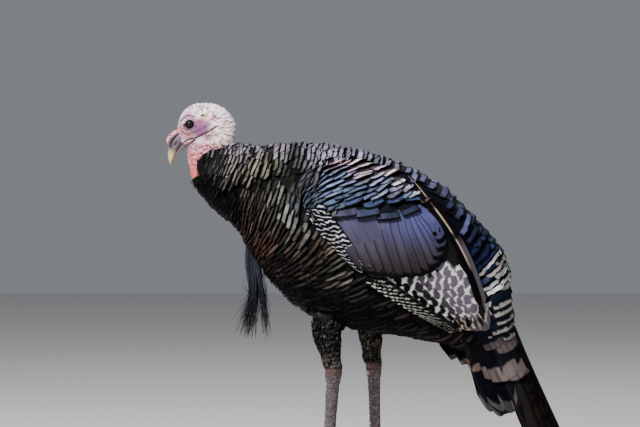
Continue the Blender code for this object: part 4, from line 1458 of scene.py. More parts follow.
def smooth_along(a, reach, axis):
    """Running mean along one axis, keeping the ends."""
    pad = [(0, 0)] * a.ndim
    pad[axis] = (reach, reach)
    padded = np.pad(a, pad, mode="edge")
    total = np.zeros_like(a)
    for k in range(2 * reach + 1):
        total += np.take(padded, range(k, k + a.shape[axis]), axis=axis)
    return total / (2 * reach + 1)


def side_blades(tree, roots, tips, widths, bends, low, high, roll, rows, columns, tip_round=0.06,
                narrow=0.0, root_width=0.7):
    """Long blades laid on the left flank of some solids: their points, places along them, u and v."""
    roots, tips = np.array(roots, float), np.array(tips, float)
    n = len(roots)
    way = tips - roots
    length = np.linalg.norm(way, axis=1)
    way = way / length[:, None]
    aside = np.column_stack((-way[:, 1], way[:, 0]))
    u = np.linspace(-1, 1, columns)[None, None, :]
    v = np.linspace(0, 1, rows)[None, :, None]

    def each(a):
        return np.broadcast_to(np.asarray(a, float), (n,))[:, None, None]

    broad = mix(root_width, 1.0, step(0.0, 0.3, v)) * (1 - each(narrow) * step(0.3, 1.0, v))
    across = each(widths) / 2 * u * broad + each(bends) * 4 * v * (1 - v)
    along = each(length) * (v - each(tip_round) * np.abs(u) ** 2.2 * step(0.5, 1.0, v))
    x = roots[:, 0, None, None] + way[:, 0, None, None] * along + aside[:, 0, None, None] * across
    z = roots[:, 1, None, None] + way[:, 1, None, None] * along + aside[:, 1, None, None] * across
    y = np.full(x.shape, np.nan).reshape(-1)
    for i, (px, pz) in enumerate(zip(x.reshape(-1), z.reshape(-1))):
        hit = tree.ray_cast(Vector((px * MM, -FAR, pz * MM)), Vector((0, 1, 0)))[0]
        if hit is not None:
            y[i] = hit[1] / MM
    y = y.reshape(x.shape)
    for k in range(1, rows):
        y[:, k] = np.where(np.isnan(y[:, k]), y[:, k - 1], y[:, k])
    for k in range(rows - 2, -1, -1):
        y[:, k] = np.where(np.isnan(y[:, k]), y[:, k + 1], y[:, k])
    y = np.where(np.isnan(y), np.nanmean(y), y)
    y = smooth_along(y, max(2, rows // 8), 1)
    lift = mix(each(low), each(high), step(0.0, 0.6, v)) - each(roll) * u * step(0, 0.4, v)
    y = y - lift
    return np.stack((x, y, z), axis=-1) * MM, np.broadcast_to(v * each(length), x.shape), u, v


def blade_uv(u, v, shape):
    return np.broadcast_to(np.stack(np.broadcast_arrays((u + 1) / 2, v), -1), (*shape, 2))


def mirrored_vanes(name, points, u, v, rgb, gloss, slot):
    """The same blades on both flanks, as one piece."""
    other = points * np.array((1, -1, 1))
    uv, rgba = blade_uv(u, v, points.shape[:3]), with_gloss(rgb, gloss)
    both, uv_both, rgba_both = (
        np.concatenate((a, b[:, :, ::-1])) for a, b in ((points, other), (uv, uv), (rgba, rgba))
    )
    place_vanes(name, both, uv_both, rgba_both, strips(len(both), np.concatenate((uv, uv))), QUILL, slot)


def barred(along, u, pitch, duty, slant, phase, light, dark, seed, wobble=0.22):
    """Cross bars on a quill: dark and light by turns, ragged at their edges."""
    n = along.shape[0]
    ids = np.arange(n)[:, None, None] * 37.0
    jitter = grain(along / 6.0, u * 1.6, ids, seed) - 0.5
    q = along / pitch + slant * u + phase[:, None, None] + wobble * 2 * jitter
    saw = np.abs((q % 1.0) - 0.5) * 2
    amount = step(duty + 0.12, duty - 0.12, saw)[..., None]
    return mix(light, dark, amount)


GREATER_TIPS = (
    (-2, 342), (12, 336), (26, 333), (40, 331), (54, 331), (68, 331), (82, 333), (95, 338), (106, 347),
    (113, 360), (117, 374), (116, 387), (108, 399),
)
GREATER_ROOTS = (
    (-55, 434), (-33, 432), (-12, 431), (6, 431), (22, 433), (36, 436), (48, 438), (57, 440), (64, 442),
    (70, 443), (73, 443), (75, 442), (76, 440),
)
GREATER_WIDTHS = (30, 30, 30, 29, 29, 28, 28, 27, 27, 25, 22, 18, 15)


def greater_coverts():
    n, rows, columns = len(GREATER_TIPS), 46, 9
    order = np.arange(n)
    points, along, u, v = side_blades(
        WING_SIDE, GREATER_ROOTS, GREATER_TIPS, GREATER_WIDTHS, np.linspace(-3, 4, n),
        low=-5.0, high=2.2 + 0.12 * order, roll=0.9, rows=rows, columns=columns, tip_round=0.07,
    )
    x, z = points[..., 0] / MM, points[..., 2] / MM
    bronze, violet = colour(0.026, 0.020, 0.022), colour(0.048, 0.041, 0.058)
    blue = colour(0.076, 0.080, 0.200)
    high = step(365, 425, z)[..., None]
    right = step(0, 90, x)[..., None]
    rgb = mix(bronze, violet, step(335, 380, z)[..., None])
    rgb = mix(rgb, blue, high * (0.25 + 0.75 * right))
    streaks = grain(u * 6, along / 60, order[:, None, None] * 9.0, 61)
    rgb = rgb * (0.72 + 0.5 * streaks)[..., None]
    edge_line = np.exp(-(((u + 1.0) / 0.11) ** 2)) * 0.7
    rgb = rgb * (1 - np.broadcast_to(edge_line, x.shape))[..., None]
    from_tip = along.max(axis=1, keepdims=True) - along
    ragged = grain(u * 5, along * 0, order[:, None, None] * 5.0, 62)
    black = step(8.6, 6.4, from_tip + 2.2 * (ragged - 0.5))[..., None]
    rgb = mix(rgb, colour(0.003, 0.003, 0.004), black)
    mirrored_vanes("greater_coverts", points, u, v, rgb, 0.9 * (1 - black[..., 0]), "coverts")


def path_points(corners, count):
    """Evenly numbered points along a line of corners."""
    corners = np.array(corners, float)
    at = np.linspace(0, len(corners) - 1, count)
    return np.column_stack([np.interp(at, range(len(corners)), corners[:, k]) for k in range(2)])


def ovals(along, u, pitch, phase, middle, half, length_share, seed, slant=0.25):
    """Dark blotches in a row down one side of a vane: 1 inside them, 0 in the pale net between."""
    n = along.shape[0]
    ids = np.arange(n)[:, None, None] * 37.0
    wander = grain(along / 5.0, u * 3.0, ids, seed) - 0.5
    q = along / pitch + slant * u + phase[:, None, None]
    place = q % 1.0
    down = np.abs(place - 0.5) * 2 / length_share
    across = (u - middle) / (half * (0.62 + 0.46 * place))
    reach = (down**2.2 + np.abs(across) ** 2.2) ** 0.4545 + 0.75 * wander
    return step(1.10, 0.94, reach)


def secondaries():
    """From the outer ones, which lie lowest, to the inner ones on top: a pale net round dark ovals."""
    n, columns, rows = 7, 19, 150
    roots = path_points(((-14, 361), (18, 382), (46, 400), (69, 414)), n)
    tips = path_points(((141, 243), (150, 244), (161, 247), (174, 245), (187, 244), (196, 247)), n)
    order = np.arange(n)
    points, along, u, v = side_blades(
        WING_SIDE, roots, tips, np.linspace(31, 33, n), np.linspace(0, 3, n),
        low=-4.0, high=0.6 + 0.22 * order, roll=0.8, rows=rows, columns=columns, tip_round=0.05, narrow=0.2,
    )
    inner = (order / (n - 1))[:, None, None]
    black, mauve, white = colour(0.003, 0.0028, 0.003), colour(0.105, 0.088, 0.112), colour(0.66, 0.65, 0.63)
    upper = step(0.35, 0.85, inner + 0.25 * (1 - v)) * np.ones(along.shape)
    dark = mix(black, mauve, upper[..., None])
    phase = (order * 0.43 + order**2 * 0.031) % 1.0
    inside = np.maximum(
        ovals(along, u, 18.5, phase, -0.50, 0.56, 0.90, 71, slant=0.45),
        ovals(along, u, 17.5, phase + 0.45, 0.52, 0.50, 0.90, 79, slant=0.45),
    )
    veins = step(0.52, 0.60, grain(along / 2.4, u * 5, 0.0, 75))
    near_tip = step(0.80, 0.97, v) * np.ones(along.shape)
    light = mix(white, colour(0.42, 0.34, 0.27), near_tip[..., None])
    light = light * (1 - 0.8 * veins * near_tip)[..., None]
    rgb = mix(light, dark, inside[..., None])
    line = np.exp(-(((u + 0.98) / 0.06) ** 2)) * 0.6 * np.ones(along.shape)
    rgb = mix(rgb, black, line[..., None])
    mirrored_vanes("secondaries", points, u, v, rgb, 0.0, "flight")


def primaries():
    """Only the edges of the primaries show, as narrow lines below the secondaries."""
    n, columns, rows = 5, 7, 110
    roots = np.linspace((-10.0, 329.0), (2.0, 340.0), n)
    tips = path_points(((118, 246), (134, 240), (144, 241)), n)
    order = np.arange(n)
    points, along, u, v = side_blades(
        WING_SIDE, roots, tips, np.full(n, 11.0), np.full(n, -1.0), low=0.5, high=2.4 + 0.15 * order,
        roll=0.5, rows=rows, columns=columns, tip_round=0.10, narrow=0.35,
    )
    light, dark = colour(0.46, 0.44, 0.40), colour(0.003, 0.003, 0.003)
    rgb = barred(along, u, 12.0, 0.74, -0.45, (order * 0.43) % 1.0, light, dark, seed=72)
    inner_vane = np.broadcast_to(step(-0.35, -0.1, u), along.shape)[..., None]
    rgb = mix(rgb, dark, inner_vane * 0.95)
    mirrored_vanes("primaries", points, u, v, rgb, 0.0, "flight")


def alula():
    """The short quills down the front edge of the folded wing: black with slanting white dashes."""
    n, columns, rows = 3, 13, 100
    roots = path_points(((-102, 437), (-82, 447)), n)
    tips = path_points(((-14, 337), (-3, 346)), n)
    order = np.arange(n)
    points, along, u, v = side_blades(
        WING_SIDE, roots, tips, (11, 12, 18), np.full(n, -4.0), low=0.2, high=1.6 + 0.35 * order,
        roll=0.5, rows=rows, columns=columns, tip_round=0.07, narrow=0.35,
    )
    light, dark = colour(0.52, 0.53, 0.56), colour(0.003, 0.003, 0.004)
    rgb = barred(along, u, 9.2, 0.80, -0.62, (order * order * 0.37) % 1.0, light, dark, seed=73, wobble=0.34)
    shaft = step(0.55, 0.95, np.abs(u + 0.1)) * np.ones(along.shape)
    rgb = mix(rgb, dark, shaft[..., None])
    mirrored_vanes("alula", points, u, v, rgb, 0.0, "flight")


def tertials():
    """The innermost quills along the back: black, with a cream line and a mauve-grey strip."""
    n, columns, rows = 2, 21, 70
    roots, tips = ((56, 488.5), (62.5, 492)), ((179, 286), (184.5, 289))
    order = np.arange(n)
    points, along, u, v = side_blades(
        WING_SIDE, roots, tips, (15, 13), (15.5, 16), low=-1.8, high=2.6 + 0.8 * order,
        roll=0.6, rows=rows, columns=columns, tip_round=0.05, narrow=0.1, root_width=0.25,
    )
    black, mauve, cream = colour(0.003, 0.003, 0.004), colour(0.070, 0.058, 0.074), colour(0.52, 0.38, 0.29)
    strip = step(-0.62, -0.45, u) * step(0.72, 0.60, u) * step(0.50, 0.62, v) * order[:, None, None]
    rgb = mix(black, mauve, (strip * np.ones(along.shape))[..., None])
    patchy = 0.10 + 0.90 * step(0.38, 0.60, grain(along / 12.0, 0.0, 0.0, 77))
    line = np.exp(-(((u + 0.74) / 0.16) ** 2)) * patchy * step(0.80, 0.66, v) * order[:, None, None]
    rgb = mix(rgb, cream, line[..., None])
    mirrored_vanes("tertials", points, u, v, rgb, 0.1, "flight")


# ---------------------------------------------------------------- tail quills

TAIL_START, TAIL_END = np.array((200.0, 0.0, 292.0)), np.array((322.0, 0.0, 31.0))
TAIL_WAY = unit(TAIL_END - TAIL_START)
TAIL_UP = np.array((-TAIL_WAY[2], 0.0, TAIL_WAY[0]))
TAIL_LENGTH = float(np.linalg.norm(TAIL_END - TAIL_START))
CLEAR = 300  # millimetres off the tail's middle line, where the rays onto it start
QUILL_START, QUILL_ROWS = 2.0, 46


def tail_hit(tree, s, y, up):
    """Height over the tail's middle line at a place along it, seen from above (1) or below (-1)."""
    base = Vector((TAIL_START + TAIL_WAY * s + TAIL_UP * CLEAR * up + np.array((0, y, 0))) * MM)
    hit = tree.ray_cast(base, Vector(-TAIL_UP * up))[0]
    return None if hit is None else float((np.array(hit) / MM - TAIL_START) @ TAIL_UP)


def tail_point(tree, s, y, lift, up):
    """A point draped over the tail's roof (1) or under it (-1); beyond its edge it sinks."""
    s_on, y_on, height = min(max(s, 4.0), TAIL_LENGTH - 6), y, None
    for _ in range(40):
        height = tail_hit(tree, s_on, y_on, up)
        if height is not None:
            break
        y_on *= 0.96
    beyond = y - y_on
    at = TAIL_START + TAIL_WAY * s + TAIL_UP * ((height or 0.0) - abs(beyond) * 0.6 * up + lift * up)
    at[1] = y_on + beyond * 0.35
    return at


def tail_blades(tree, offsets, ends, width, lifts, up, columns, rolls):
    """Tail quills over the roof, or under it, from a root offset to a tip offset."""
    n = len(offsets)
    u = np.linspace(-1, 1, columns)
    v = np.linspace(0, 1, QUILL_ROWS)
    points = np.zeros((n, QUILL_ROWS, columns, 3))
    along = np.zeros((n, QUILL_ROWS, columns))
    for k, i, j in np.ndindex(n, QUILL_ROWS, columns):
        s = mix(QUILL_START, ends[k], v[i]) - 13 * abs(u[j]) ** 2.2 * step(0.7, 1.0, v[i])
        broad = width / 2 * mix(0.55, 1.0, step(0, 0.6, v[i]))
        y = mix(offsets[k][0], offsets[k][1], v[i]) + u[j] * broad
        points[k, i, j] = tail_point(tree, s, y, lifts[k] + rolls[k] * u[j], up)
        along[k, i, j] = s
    return smooth_along(points, 2, 1) * MM, along, u[None, None, :], v[None, :, None]


def place_tail(name, points, along, u, v, rgb, tip_tone, gloss):
    from_tip = along.max(axis=(1, 2), keepdims=True) - along
    rgb = mix(rgb, tip_tone, (step(13, 9, from_tip) * 0.9)[..., None])
    uv = blade_uv(u, v, along.shape)
    place_vanes(name, points, uv, with_gloss(rgb, gloss), strips(len(uv), uv), QUILL, "tail")


def tail_quills():
    """Five pairs, from the outermost, lying lowest, to the middle pair on top, and their undersides."""
    tree = tree_of_nodes("tail_middle")
    y_root, y_tip, reach = (23, 19, 15, 10, 4), (26, 22, 17, 11, 5), (262, 272, 280, 286, 290)
    quills = [(k, sign) for k in range(5) for sign in (-1, 1)]
    offsets = [(sign * y_root[k], sign * y_tip[k]) for k, sign in quills]
    ends = [reach[k] for k, _ in quills]
    rolls = [-0.3 * sign for _, sign in quills]
    lifts = [0.6 + 0.7 * k + (0.35 if sign > 0 else 0) for k, sign in quills]
    points, along, u, v = tail_blades(tree, offsets, ends, 30, lifts, 1, 9, rolls)
    black, brown = colour(0.003, 0.0028, 0.0028), colour(0.0062, 0.0042, 0.0037)
    rust, tan = colour(0.030, 0.014, 0.010), colour(0.20, 0.135, 0.085)
    y = points[..., 1] / MM
    fine, wave = grain(along / 3.2, y / 2.0, 3.0, 81), grain(along / 7, y / 9, 1.0, 83)
    rgb = mix(black, brown, step(0.48, 0.62, 0.6 * fine + 0.4 * wave)[..., None])
    rim = np.abs(np.broadcast_to(u, along.shape))
    rgb = mix(rgb, rust, (0.5 * step(0.93, 1.0, rim) * step(0.45, 0.6, wave))[..., None])
    from_tip = along.max(axis=(1, 2), keepdims=True) - along
    rgb = mix(rgb, black, step(40, 34, from_tip)[..., None])
    place_tail("tail_quills", points, along, u, v, rgb, tan, 0.25)
    lifts = [0.4 + 0.5 * k for k, _ in quills]
    points, along, u, v = tail_blades(tree, offsets, ends, 32, lifts, -1, 7, rolls)
    fine = grain(along / 3.2, points[..., 1] / MM / 2.0, 5.0, 85)
    rgb = mix(colour(0.006, 0.005, 0.005), colour(0.016, 0.0105, 0.009), step(0.4, 0.65, fine)[..., None])
    place_tail("tail_undersides", points, along, u, v, rgb, colour(0.18, 0.125, 0.085), 0.0)


# Tail blades that show on the side, and the large coverts over them: root (x, z), tip (x, z), width,
# colour of the tip, its width, colour of the rest and how high it lies.
SIDE_TAIL = (
    ((160, 246), (196, 112), 26, (0.050, 0.047, 0.047), 15, (0.003, 0.0035, 0.006), 0.5),
    ((176, 250), (212, 104), 32, (0.062, 0.059, 0.059), 20, (0.003, 0.0035, 0.006), 1.0),
    ((190, 250), (230, 108), 30, (0.052, 0.048, 0.048), 18, (0.003, 0.0035, 0.006), 1.5),
)
TAIL_COVERTS = (
    ((118, 232), (145, 198), 28, (0.085, 0.062, 0.048), 8, (0.004, 0.0035, 0.004), 1.2),
    ((136, 236), (164, 188), 30, (0.125, 0.090, 0.066), 9, (0.004, 0.0035, 0.004), 1.8),
    ((150, 240), (180, 178), 32, (0.115, 0.080, 0.060), 12, (0.004, 0.0035, 0.004), 2.4),
    ((205, 250), (254, 170), 26, (0.095, 0.073, 0.068), 17, (0.004, 0.004, 0.006), 3.0),
    ((168, 258), (204, 164), 34, (0.092, 0.071, 0.065), 22, (0.004, 0.004, 0.006), 4.0),
    ((192, 262), (242, 163), 36, (0.090, 0.071, 0.069), 22, (0.004, 0.004, 0.006), 4.8),
    ((178, 262), (223, 161), 48, (0.100, 0.080, 0.077), 25, (0.004, 0.004, 0.006), 5.6),
    ((190, 280), (227, 208), 38, (0.070, 0.052, 0.050), 18, (0.004, 0.0045, 0.009), 6.6),
    ((172, 276), (205, 213), 36, (0.060, 0.048, 0.048), 12, (0.004, 0.0045, 0.009), 7.4),
    ((214, 258), (229, 228), 24, (0.26, 0.24, 0.22), 6, (0.004, 0.005, 0.010), 8.0),
    ((200, 264), (212, 238), 28, (0.26, 0.25, 0.23), 6, (0.004, 0.006, 0.012), 8.4),
    ((212, 270), (225, 242), 28, (0.32, 0.30, 0.28), 6, (0.004, 0.006, 0.012), 9.0),
    ((208, 283), (221, 255), 32, (0.34, 0.32, 0.30), 6, (0.004, 0.006, 0.012), 9.6),
    ((206, 295), (218, 268), 34, (0.36, 0.34, 0.31), 7, (0.004, 0.006, 0.012), 10.2),
    ((205, 308), (217, 281), 36, (0.36, 0.34, 0.31), 7, (0.004, 0.006, 0.012), 10.8),
)


def shingles(name, table, slot, tip_round):
    """Broad blades in a stack on the tail's side, each dark with one pale tip band."""
    roots, tips, widths, tones, bands, darks, lifts = (np.array(column, float) for column in zip(*table))
    n = len(table)
    points, along, u, v = side_blades(
        TAIL_SIDE, roots, tips, widths, np.zeros(n), low=-1.0, high=lifts, roll=0.5, rows=60, columns=13,
        tip_round=tip_round,
    )
    from_tip = along.max(axis=1, keepdims=True) - along
    ids = np.arange(n)[:, None, None] * 11.0
    ragged = grain(u * 4, 0 * along, ids, 64) - 0.5
    pale = step(1.8, -1.8, from_tip - bands[:, None, None] + 5 * ragged)
    rim = step(0.6, 2.0, from_tip)
    tone = tones[:, None, None, :] * (0.55 + 0.9 * grain(u * 20, along / 25, ids, 65))[..., None]
    rgb = mix(darks[:, None, None, :], tone, (pale * (0.25 + 0.75 * rim))[..., None])
    mirrored_vanes(name, points, u, v, rgb, 0.0, slot)


def tail_side():
    shingles("tail_outer_vanes", SIDE_TAIL, "tail", 0.16)
    shingles("tail_coverts", TAIL_COVERTS, "plumage", 0.07)


# ---------------------------------------------------------------- legs, beard, bristles


def thigh_feathers():
    p, n = cand_p[is_thigh], cand_n[is_thigh]
    lie = laid(np.tile(np.array((0.06, 0, -1.0)), (len(p), 1)), n)
    order = np.argsort(-p[:, 2] + rng.random(len(p)) * 3 * MM)
    kept = thin_out(p, lie, n, np.full(len(p), 3.2 * MM), np.full(len(p), 2.7 * MM), order)
    p, n, lie = p[kept], n[kept], lie[kept]
    count = len(p)
    length = rng.uniform(10, 14, count) * MM
    width = rng.uniform(3.4, 5.0, count) * MM
    length = np.minimum(length, np.maximum(p[:, 2] - (HOCK - 5 * MM), 5 * MM))
    low_leg = step(225, 200, p[:, 2] / MM)[:, None]
    # Painted light: the far, right thigh is browner and lighter, as if lit; the near one stays near black.
    lit_side = step(-10, 10, p[:, 1] / MM)[:, None]
    tone = mix(colour(0.012, 0.0105, 0.0115), colour(0.046, 0.040, 0.031), lit_side)
    tone = varied(mix(tone, colour(0.046, 0.038, 0.034), low_leg), 0.45, 0.03)
    edge, band = np.full(count, 0.25 * MM), rng.uniform(3.0, 5.0, count) * MM
    points, uv, rgba = vane_set(
        p, n, lie, length, width, tone, band, edge, np.zeros(count), 0.42 * coat_depth(p) + 0.5 * MM,
        tip_round=(0.25, 0.40), roll=0.2, free=0.02,
    )
    root_uv = np.column_stack((
        np.clip((p[:, 2] / MM - 180) / 60, 0.02, 0.98),
        0.5 + 0.48 * np.arctan2(p[:, 1], p[:, 0] + 30 * MM) / math.pi,
    ))
    place_vanes("thigh_feathers", points, uv, rgba, root_patches(root_uv, uv, 0.02), PLUMAGE, "thigh")


def ribbons(name, paths, widths, aside, tone, slot, replaced=()):
    """Flat bristles along paths (bristle, row, xyz), each pointing its width along one direction."""
    n, rows, _ = paths.shape
    taper = np.linspace(1, 0.45, rows)[None, :, None]
    half = aside[:, None, :] * widths[:, None, None] / 2 * taper
    points = np.stack((paths - half, paths + half), axis=2)
    uv = blade_uv(np.array((-1.0, 1.0)), np.linspace(0, 1, rows)[None, :, None], (n, rows, 2))
    both = np.repeat(tone[:, :, None, :], 2, axis=2)
    place_vanes(name, points, uv, both, strips(n, uv), BRISTLE, slot, replaced)


def build_beard():
    """A tassel of bristles in two locks: each bristle has four knots from its root down to its tip."""
    n, rows, strands = 460, 12, 26
    local = np.random.default_rng(23)
    kind = local.random(n)
    spread = local.normal(0, 1, (n, 2))
    spread /= np.maximum(1.0, np.linalg.norm(spread, axis=1, keepdims=True) / 1.6)
    fore, side = spread.T
    root = np.column_stack((-194 + 3.5 * fore, 3.2 * side - 4, 402 + 3 * local.random(n)))
    belly = np.column_stack((-192 + 5.2 * fore, 6.5 * side - 1, 342 + 6 * local.random(n)))
    waist = np.column_stack((-188 + 3.2 * fore, 4.5 * side, 290 + 6 * local.random(n)))
    tip_x = -200 + 8 * fore + local.normal(0, 4, n)
    tip = np.column_stack((tip_x, 5.5 * side + local.normal(0, 2, n), 226 + 62 * local.random(n) ** 1.2))
    second = kind > 0.74
    belly[second, 0] = -184 + 3 * fore[second]
    waist[second, 0] = -174 + 2.4 * fore[second]
    tip[second, 0] = -170 + 3.6 * fore[second] + local.normal(0, 2, second.sum())
    strand = local.integers(0, strands, n)
    for knot, stray in ((belly, 2.2), (waist, 2.6), (tip, 4.5)):
        knot += local.normal(0, stray, (strands, 3))[strand]
    short = local.random(n) < 0.12
    tip[short, 2] += local.uniform(15, 60, short.sum())
    loose = local.random(n) < 0.05
    tip[loose, 0] += local.normal(0, 9, loose.sum())
    knots = np.stack((root, belly, waist, tip), axis=1)
    t, places = np.linspace(0, 1, rows), (0.0, 0.36, 0.66, 1.0)
    paths = np.array([[np.interp(t, places, bristle[:, k]) for k in range(3)] for bristle in knots])
    paths = smooth_along(paths.transpose(0, 2, 1), 1, 1)
    paths += local.normal(0, 0.35, (n, 1, 3)) + wave_of(t, local, n)
    turn = local.uniform(0, math.pi, n)
    aside = np.column_stack((np.cos(turn), np.sin(turn), np.zeros(n)))
    # Painted sheen: a blue-grey reflection painted on the upper part of some bristles.
    black, painted_sheen = colour(0.010, 0.010, 0.012), colour(0.085, 0.10, 0.14)
    rgb = mix(black, painted_sheen, ((local.random((n, 1)) ** 2) * step(0.9, 0.1, t))[..., None])
    widths = local.uniform(0.8, 1.3, n) * MM
    ribbons("beard_bristles", paths * MM, widths, aside, with_gloss(rgb, 0.2), "beard", ["beard"])


def wave_of(t, local, n):
    """Small waves along each bristle."""
    wave = 0.5 * np.sin(t * 9 + local.random((n, 1)) * 6)[..., None]
    return wave * local.normal(0, 0.5, (n, 1, 3))


def neck_bristles():
    """Black hair-like feathers along the border of the bare neck, and sparse ones on the head."""
    points, normals = scatter_points(60000, lambda c: (c[:, 0] < -190 * MM) & (c[:, 2] > 470 * MM))
    inside = bareness(points) / MM
    border = (inside > -7) & (inside < 1.2)
    head = (inside > 3) & (rng.random(len(points)) < 0.012 * step(-268, -235, points[:, 0] / MM) + 0.0015)
    head &= np.hypot(points[:, 0] - EYE[0], points[:, 2] - EYE[2]) > 12 * MM
    border &= rng.random(len(points)) < 0.34
    chosen = border | head
    p, n, is_head = points[chosen], normals[chosen], head[chosen]
    lie = lie_at(p)[0]
    lie = laid(unit(lie + rng.normal(0, 0.32, lie.shape)), n)
    count, rows = len(p), 5
    length = np.where(is_head, rng.uniform(2.0, 4.5, count), rng.uniform(8, 15, count)) * MM
    rise = np.where(is_head, 0.35, 0.22) * length
    v = np.linspace(0, 1, rows)[None, :, None]
    paths = p[:, None] + lie[:, None] * length[:, None, None] * v + n[:, None] * rise[:, None, None] * v**1.3
    width = np.where(is_head, 0.35, rng.uniform(0.7, 1.2, count)) * MM
    black = np.tile(colour(0.004, 0.004, 0.004), (count, rows, 1))
    ribbons("neck_bristles", paths, width, unit(np.cross(n, lie)), with_gloss(black, 0.0), "plumage")


def leg_lie(p, n, toe):
    """Down the shanks, and away from the ankle along the toes."""
    lie = np.tile(np.array((0, 0, -1.0)), (len(p), 1))
    for side, sign in SIDES:
        low, high = (np.array(c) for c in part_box(f"shank_{side}"))
        ankle = np.array(((low[0] + high[0]) / 2, (low[1] + high[1]) / 2, 0.012))
        here = toe & (p[:, 1] * sign > 0)
        away = p[here] - ankle
        away[:, 2] = 0
        lie[here] = unit(away)
    return laid(lie, n)


def scale_tones(p, z, toe, front):
    """Mauve shanks, paler in front, rusty near the feathers; browner toes; the right shank is painted lighter
    as if lit.
    """
    mauve, pale = colour(0.105, 0.074, 0.086), colour(0.215, 0.160, 0.178)
    rusty, toes = colour(0.085, 0.037, 0.028), colour(0.13, 0.092, 0.094)
    tone = mix(mauve, pale, (0.75 * front)[:, None])
    tone = np.where(toe[:, None], toes, tone)
    tone = mix(tone, rusty, (0.85 * step(HOCK / MM - 30, HOCK / MM - 8, z))[:, None])
    # Painted light: the right shank is made 1.7 times as light, as if lit.
    tone = tone * (1 + 0.7 * step(0, 10, p[:, 1] / MM) * (1 - toe))[:, None]
    return varied(tone, 0.42, 0.04)


def leg_scales():
    """Overlapping scales of the shanks and toes: broad plates in front and on top, small ones round."""
    points, normals = scatter_points(60000, lambda c: c[:, 2] < HOCK - 2 * MM)
    z = points[:, 2] / MM
    use = (z > 2.5) & (normals[:, 2] > -0.55)
    p, n = points[use], normals[use]
    z = p[:, 2] / MM
    toe = z < 19
    lie = leg_lie(p, n, toe)
    front = np.where(toe, step(0.5, 0.8, n[:, 2]), step(0.55, 0.8, -n[:, 0]))
    along = np.where(toe, 3.2, mix(3.0, 4.6, front))
    across = mix(2.9, np.where(toe, 7.0, 8.5), front)
    order = np.argsort(-p[:, 2] + rng.random(len(p)) * 2 * MM)
    kept = thin_out(p, lie, n, along * MM * 0.95, across * MM * 0.95, order)
    p, n, lie, front, toe = p[kept], n[kept], lie[kept], front[kept], toe[kept]
    along, across, z = along[kept], across[kept], z[kept]
    count, rows, columns = len(p), 4, 5
    length, width = along * 1.55 * MM, across * 1.35 * MM
    place_rows = np.tile(np.array((0.0, 0.45, 0.85, 1.0)), (count, 1))
    vanes_p, uv = vanes(
        p - lie * length[:, None] * 0.4, lie, n, length, width, place_rows, np.full(count, 0.28),
        low=-0.25 * MM, high=mix(0.45, 0.75, front) * MM, roll=0.0, camber=0.25 * MM, free=0.0,
        columns=columns, ragged=0.0, base_width=0.8,
    )
    tone = scale_tones(p, z, toe, front)
    rgb = np.broadcast_to(tone[:, None, None, :], (count, rows, columns, 3)).copy()
    rim = np.maximum(np.abs(uv[..., 0] - 0.5) * 2, uv[..., 1])
    rgb *= (1 - 0.72 * step(0.62, 0.95, rim))[..., None]
    side_u = np.where(p[:, 1] < 0, 0.0, 0.5)
    root_uv = np.column_stack((
        side_u + 0.02 + 0.46 * (0.5 + np.arctan2(n[:, 1], n[:, 0]) / (2 * math.pi)),
        np.clip(p[:, 2] / HOCK, 0.02, 0.98),
    ))
    place_vanes(
        "leg_scales", vanes_p, uv, with_gloss(rgb, 0.0), root_patches(root_uv, uv, 0.006), SCALE, "leg"
    )


# ---------------------------------------------------------------- bill, snood, eyes, claws


def hard_piece(name, nodes, slot, voxel, smooth_steps, shape, tones, material):
    """A smooth piece made from some solids, shaped and coloured by two functions of place."""
    work = remeshed(name, *joined(nodes), voxel, smooth_steps)
    p, n = positions_of(work), normals_of(work)
    p = p + n * (shape(p, n) + 0.15 * voxel)[:, None]
    set_positions(work, p)
    mesh = finished(name, work)
    paint(mesh, with_gloss(tones(p), 0.0))
    place(name, mesh, material, slot, nodes)


NOSTRIL = ((-317.5, 540.5), (-313.5, 546.5))
BILL_SEAM = ((-322.5, 512), (-317, 522), (-312.5, 533), (-307, 540), (-298, 548))


def along_bill(p, line, width):
    """1 on a line in the side view (x, z), falling to 0 beside it."""
    return np.exp(-((distance_to_line(p[:, 0] / MM, p[:, 2] / MM, line) / width) ** 2))


def bill_shape(p, n):
    return -1.5 * MM * along_bill(p, NOSTRIL, 1.5) * step(0.3, 0.7, np.abs(n[:, 1]))


def bill_tones(p):
    x, _, z = (p / MM).T
    horn, cere, brown = colour(0.52, 0.36, 0.17), colour(0.120, 0.095, 0.120), colour(0.035, 0.018, 0.016)
    rgb = mix(horn, cere, step(521, 535, z + 0.3 * (x + 312))[:, None])
    rgb = rgb * (0.78 + 0.40 * noise(p / MM * np.array((1, 1, 0.25)), 2.2, 91))[:, None]
    rgb = mix(rgb, brown, (0.75 * along_bill(p, BILL_SEAM, 1.5))[:, None])
    return mix(rgb, colour(0.02, 0.012, 0.012), (0.97 * along_bill(p, NOSTRIL, 1.7))[:, None])


def snood_shape(p, n):
    return (0.9 * noise(p / MM, 2.4, 93) - 0.45) * MM


def snood_tones(p):
    bead = noise(p / MM, 2.4, 93)
    return mix(colour(0.26, 0.070, 0.085), colour(0.56, 0.31, 0.34), step(0.34, 0.60, bead)[:, None])


def claw_tones(p):
    return colour(0.055, 0.045, 0.042) * (0.8 + 0.5 * noise(p / MM, 1.8, 95))[:, None]


def spur_tones(p):
    return colour(0.10, 0.075, 0.065) * (0.8 + 0.5 * noise(p / MM, 2.0, 97))[:, None]


def flat_shape(p, n):
    return np.zeros(len(p))


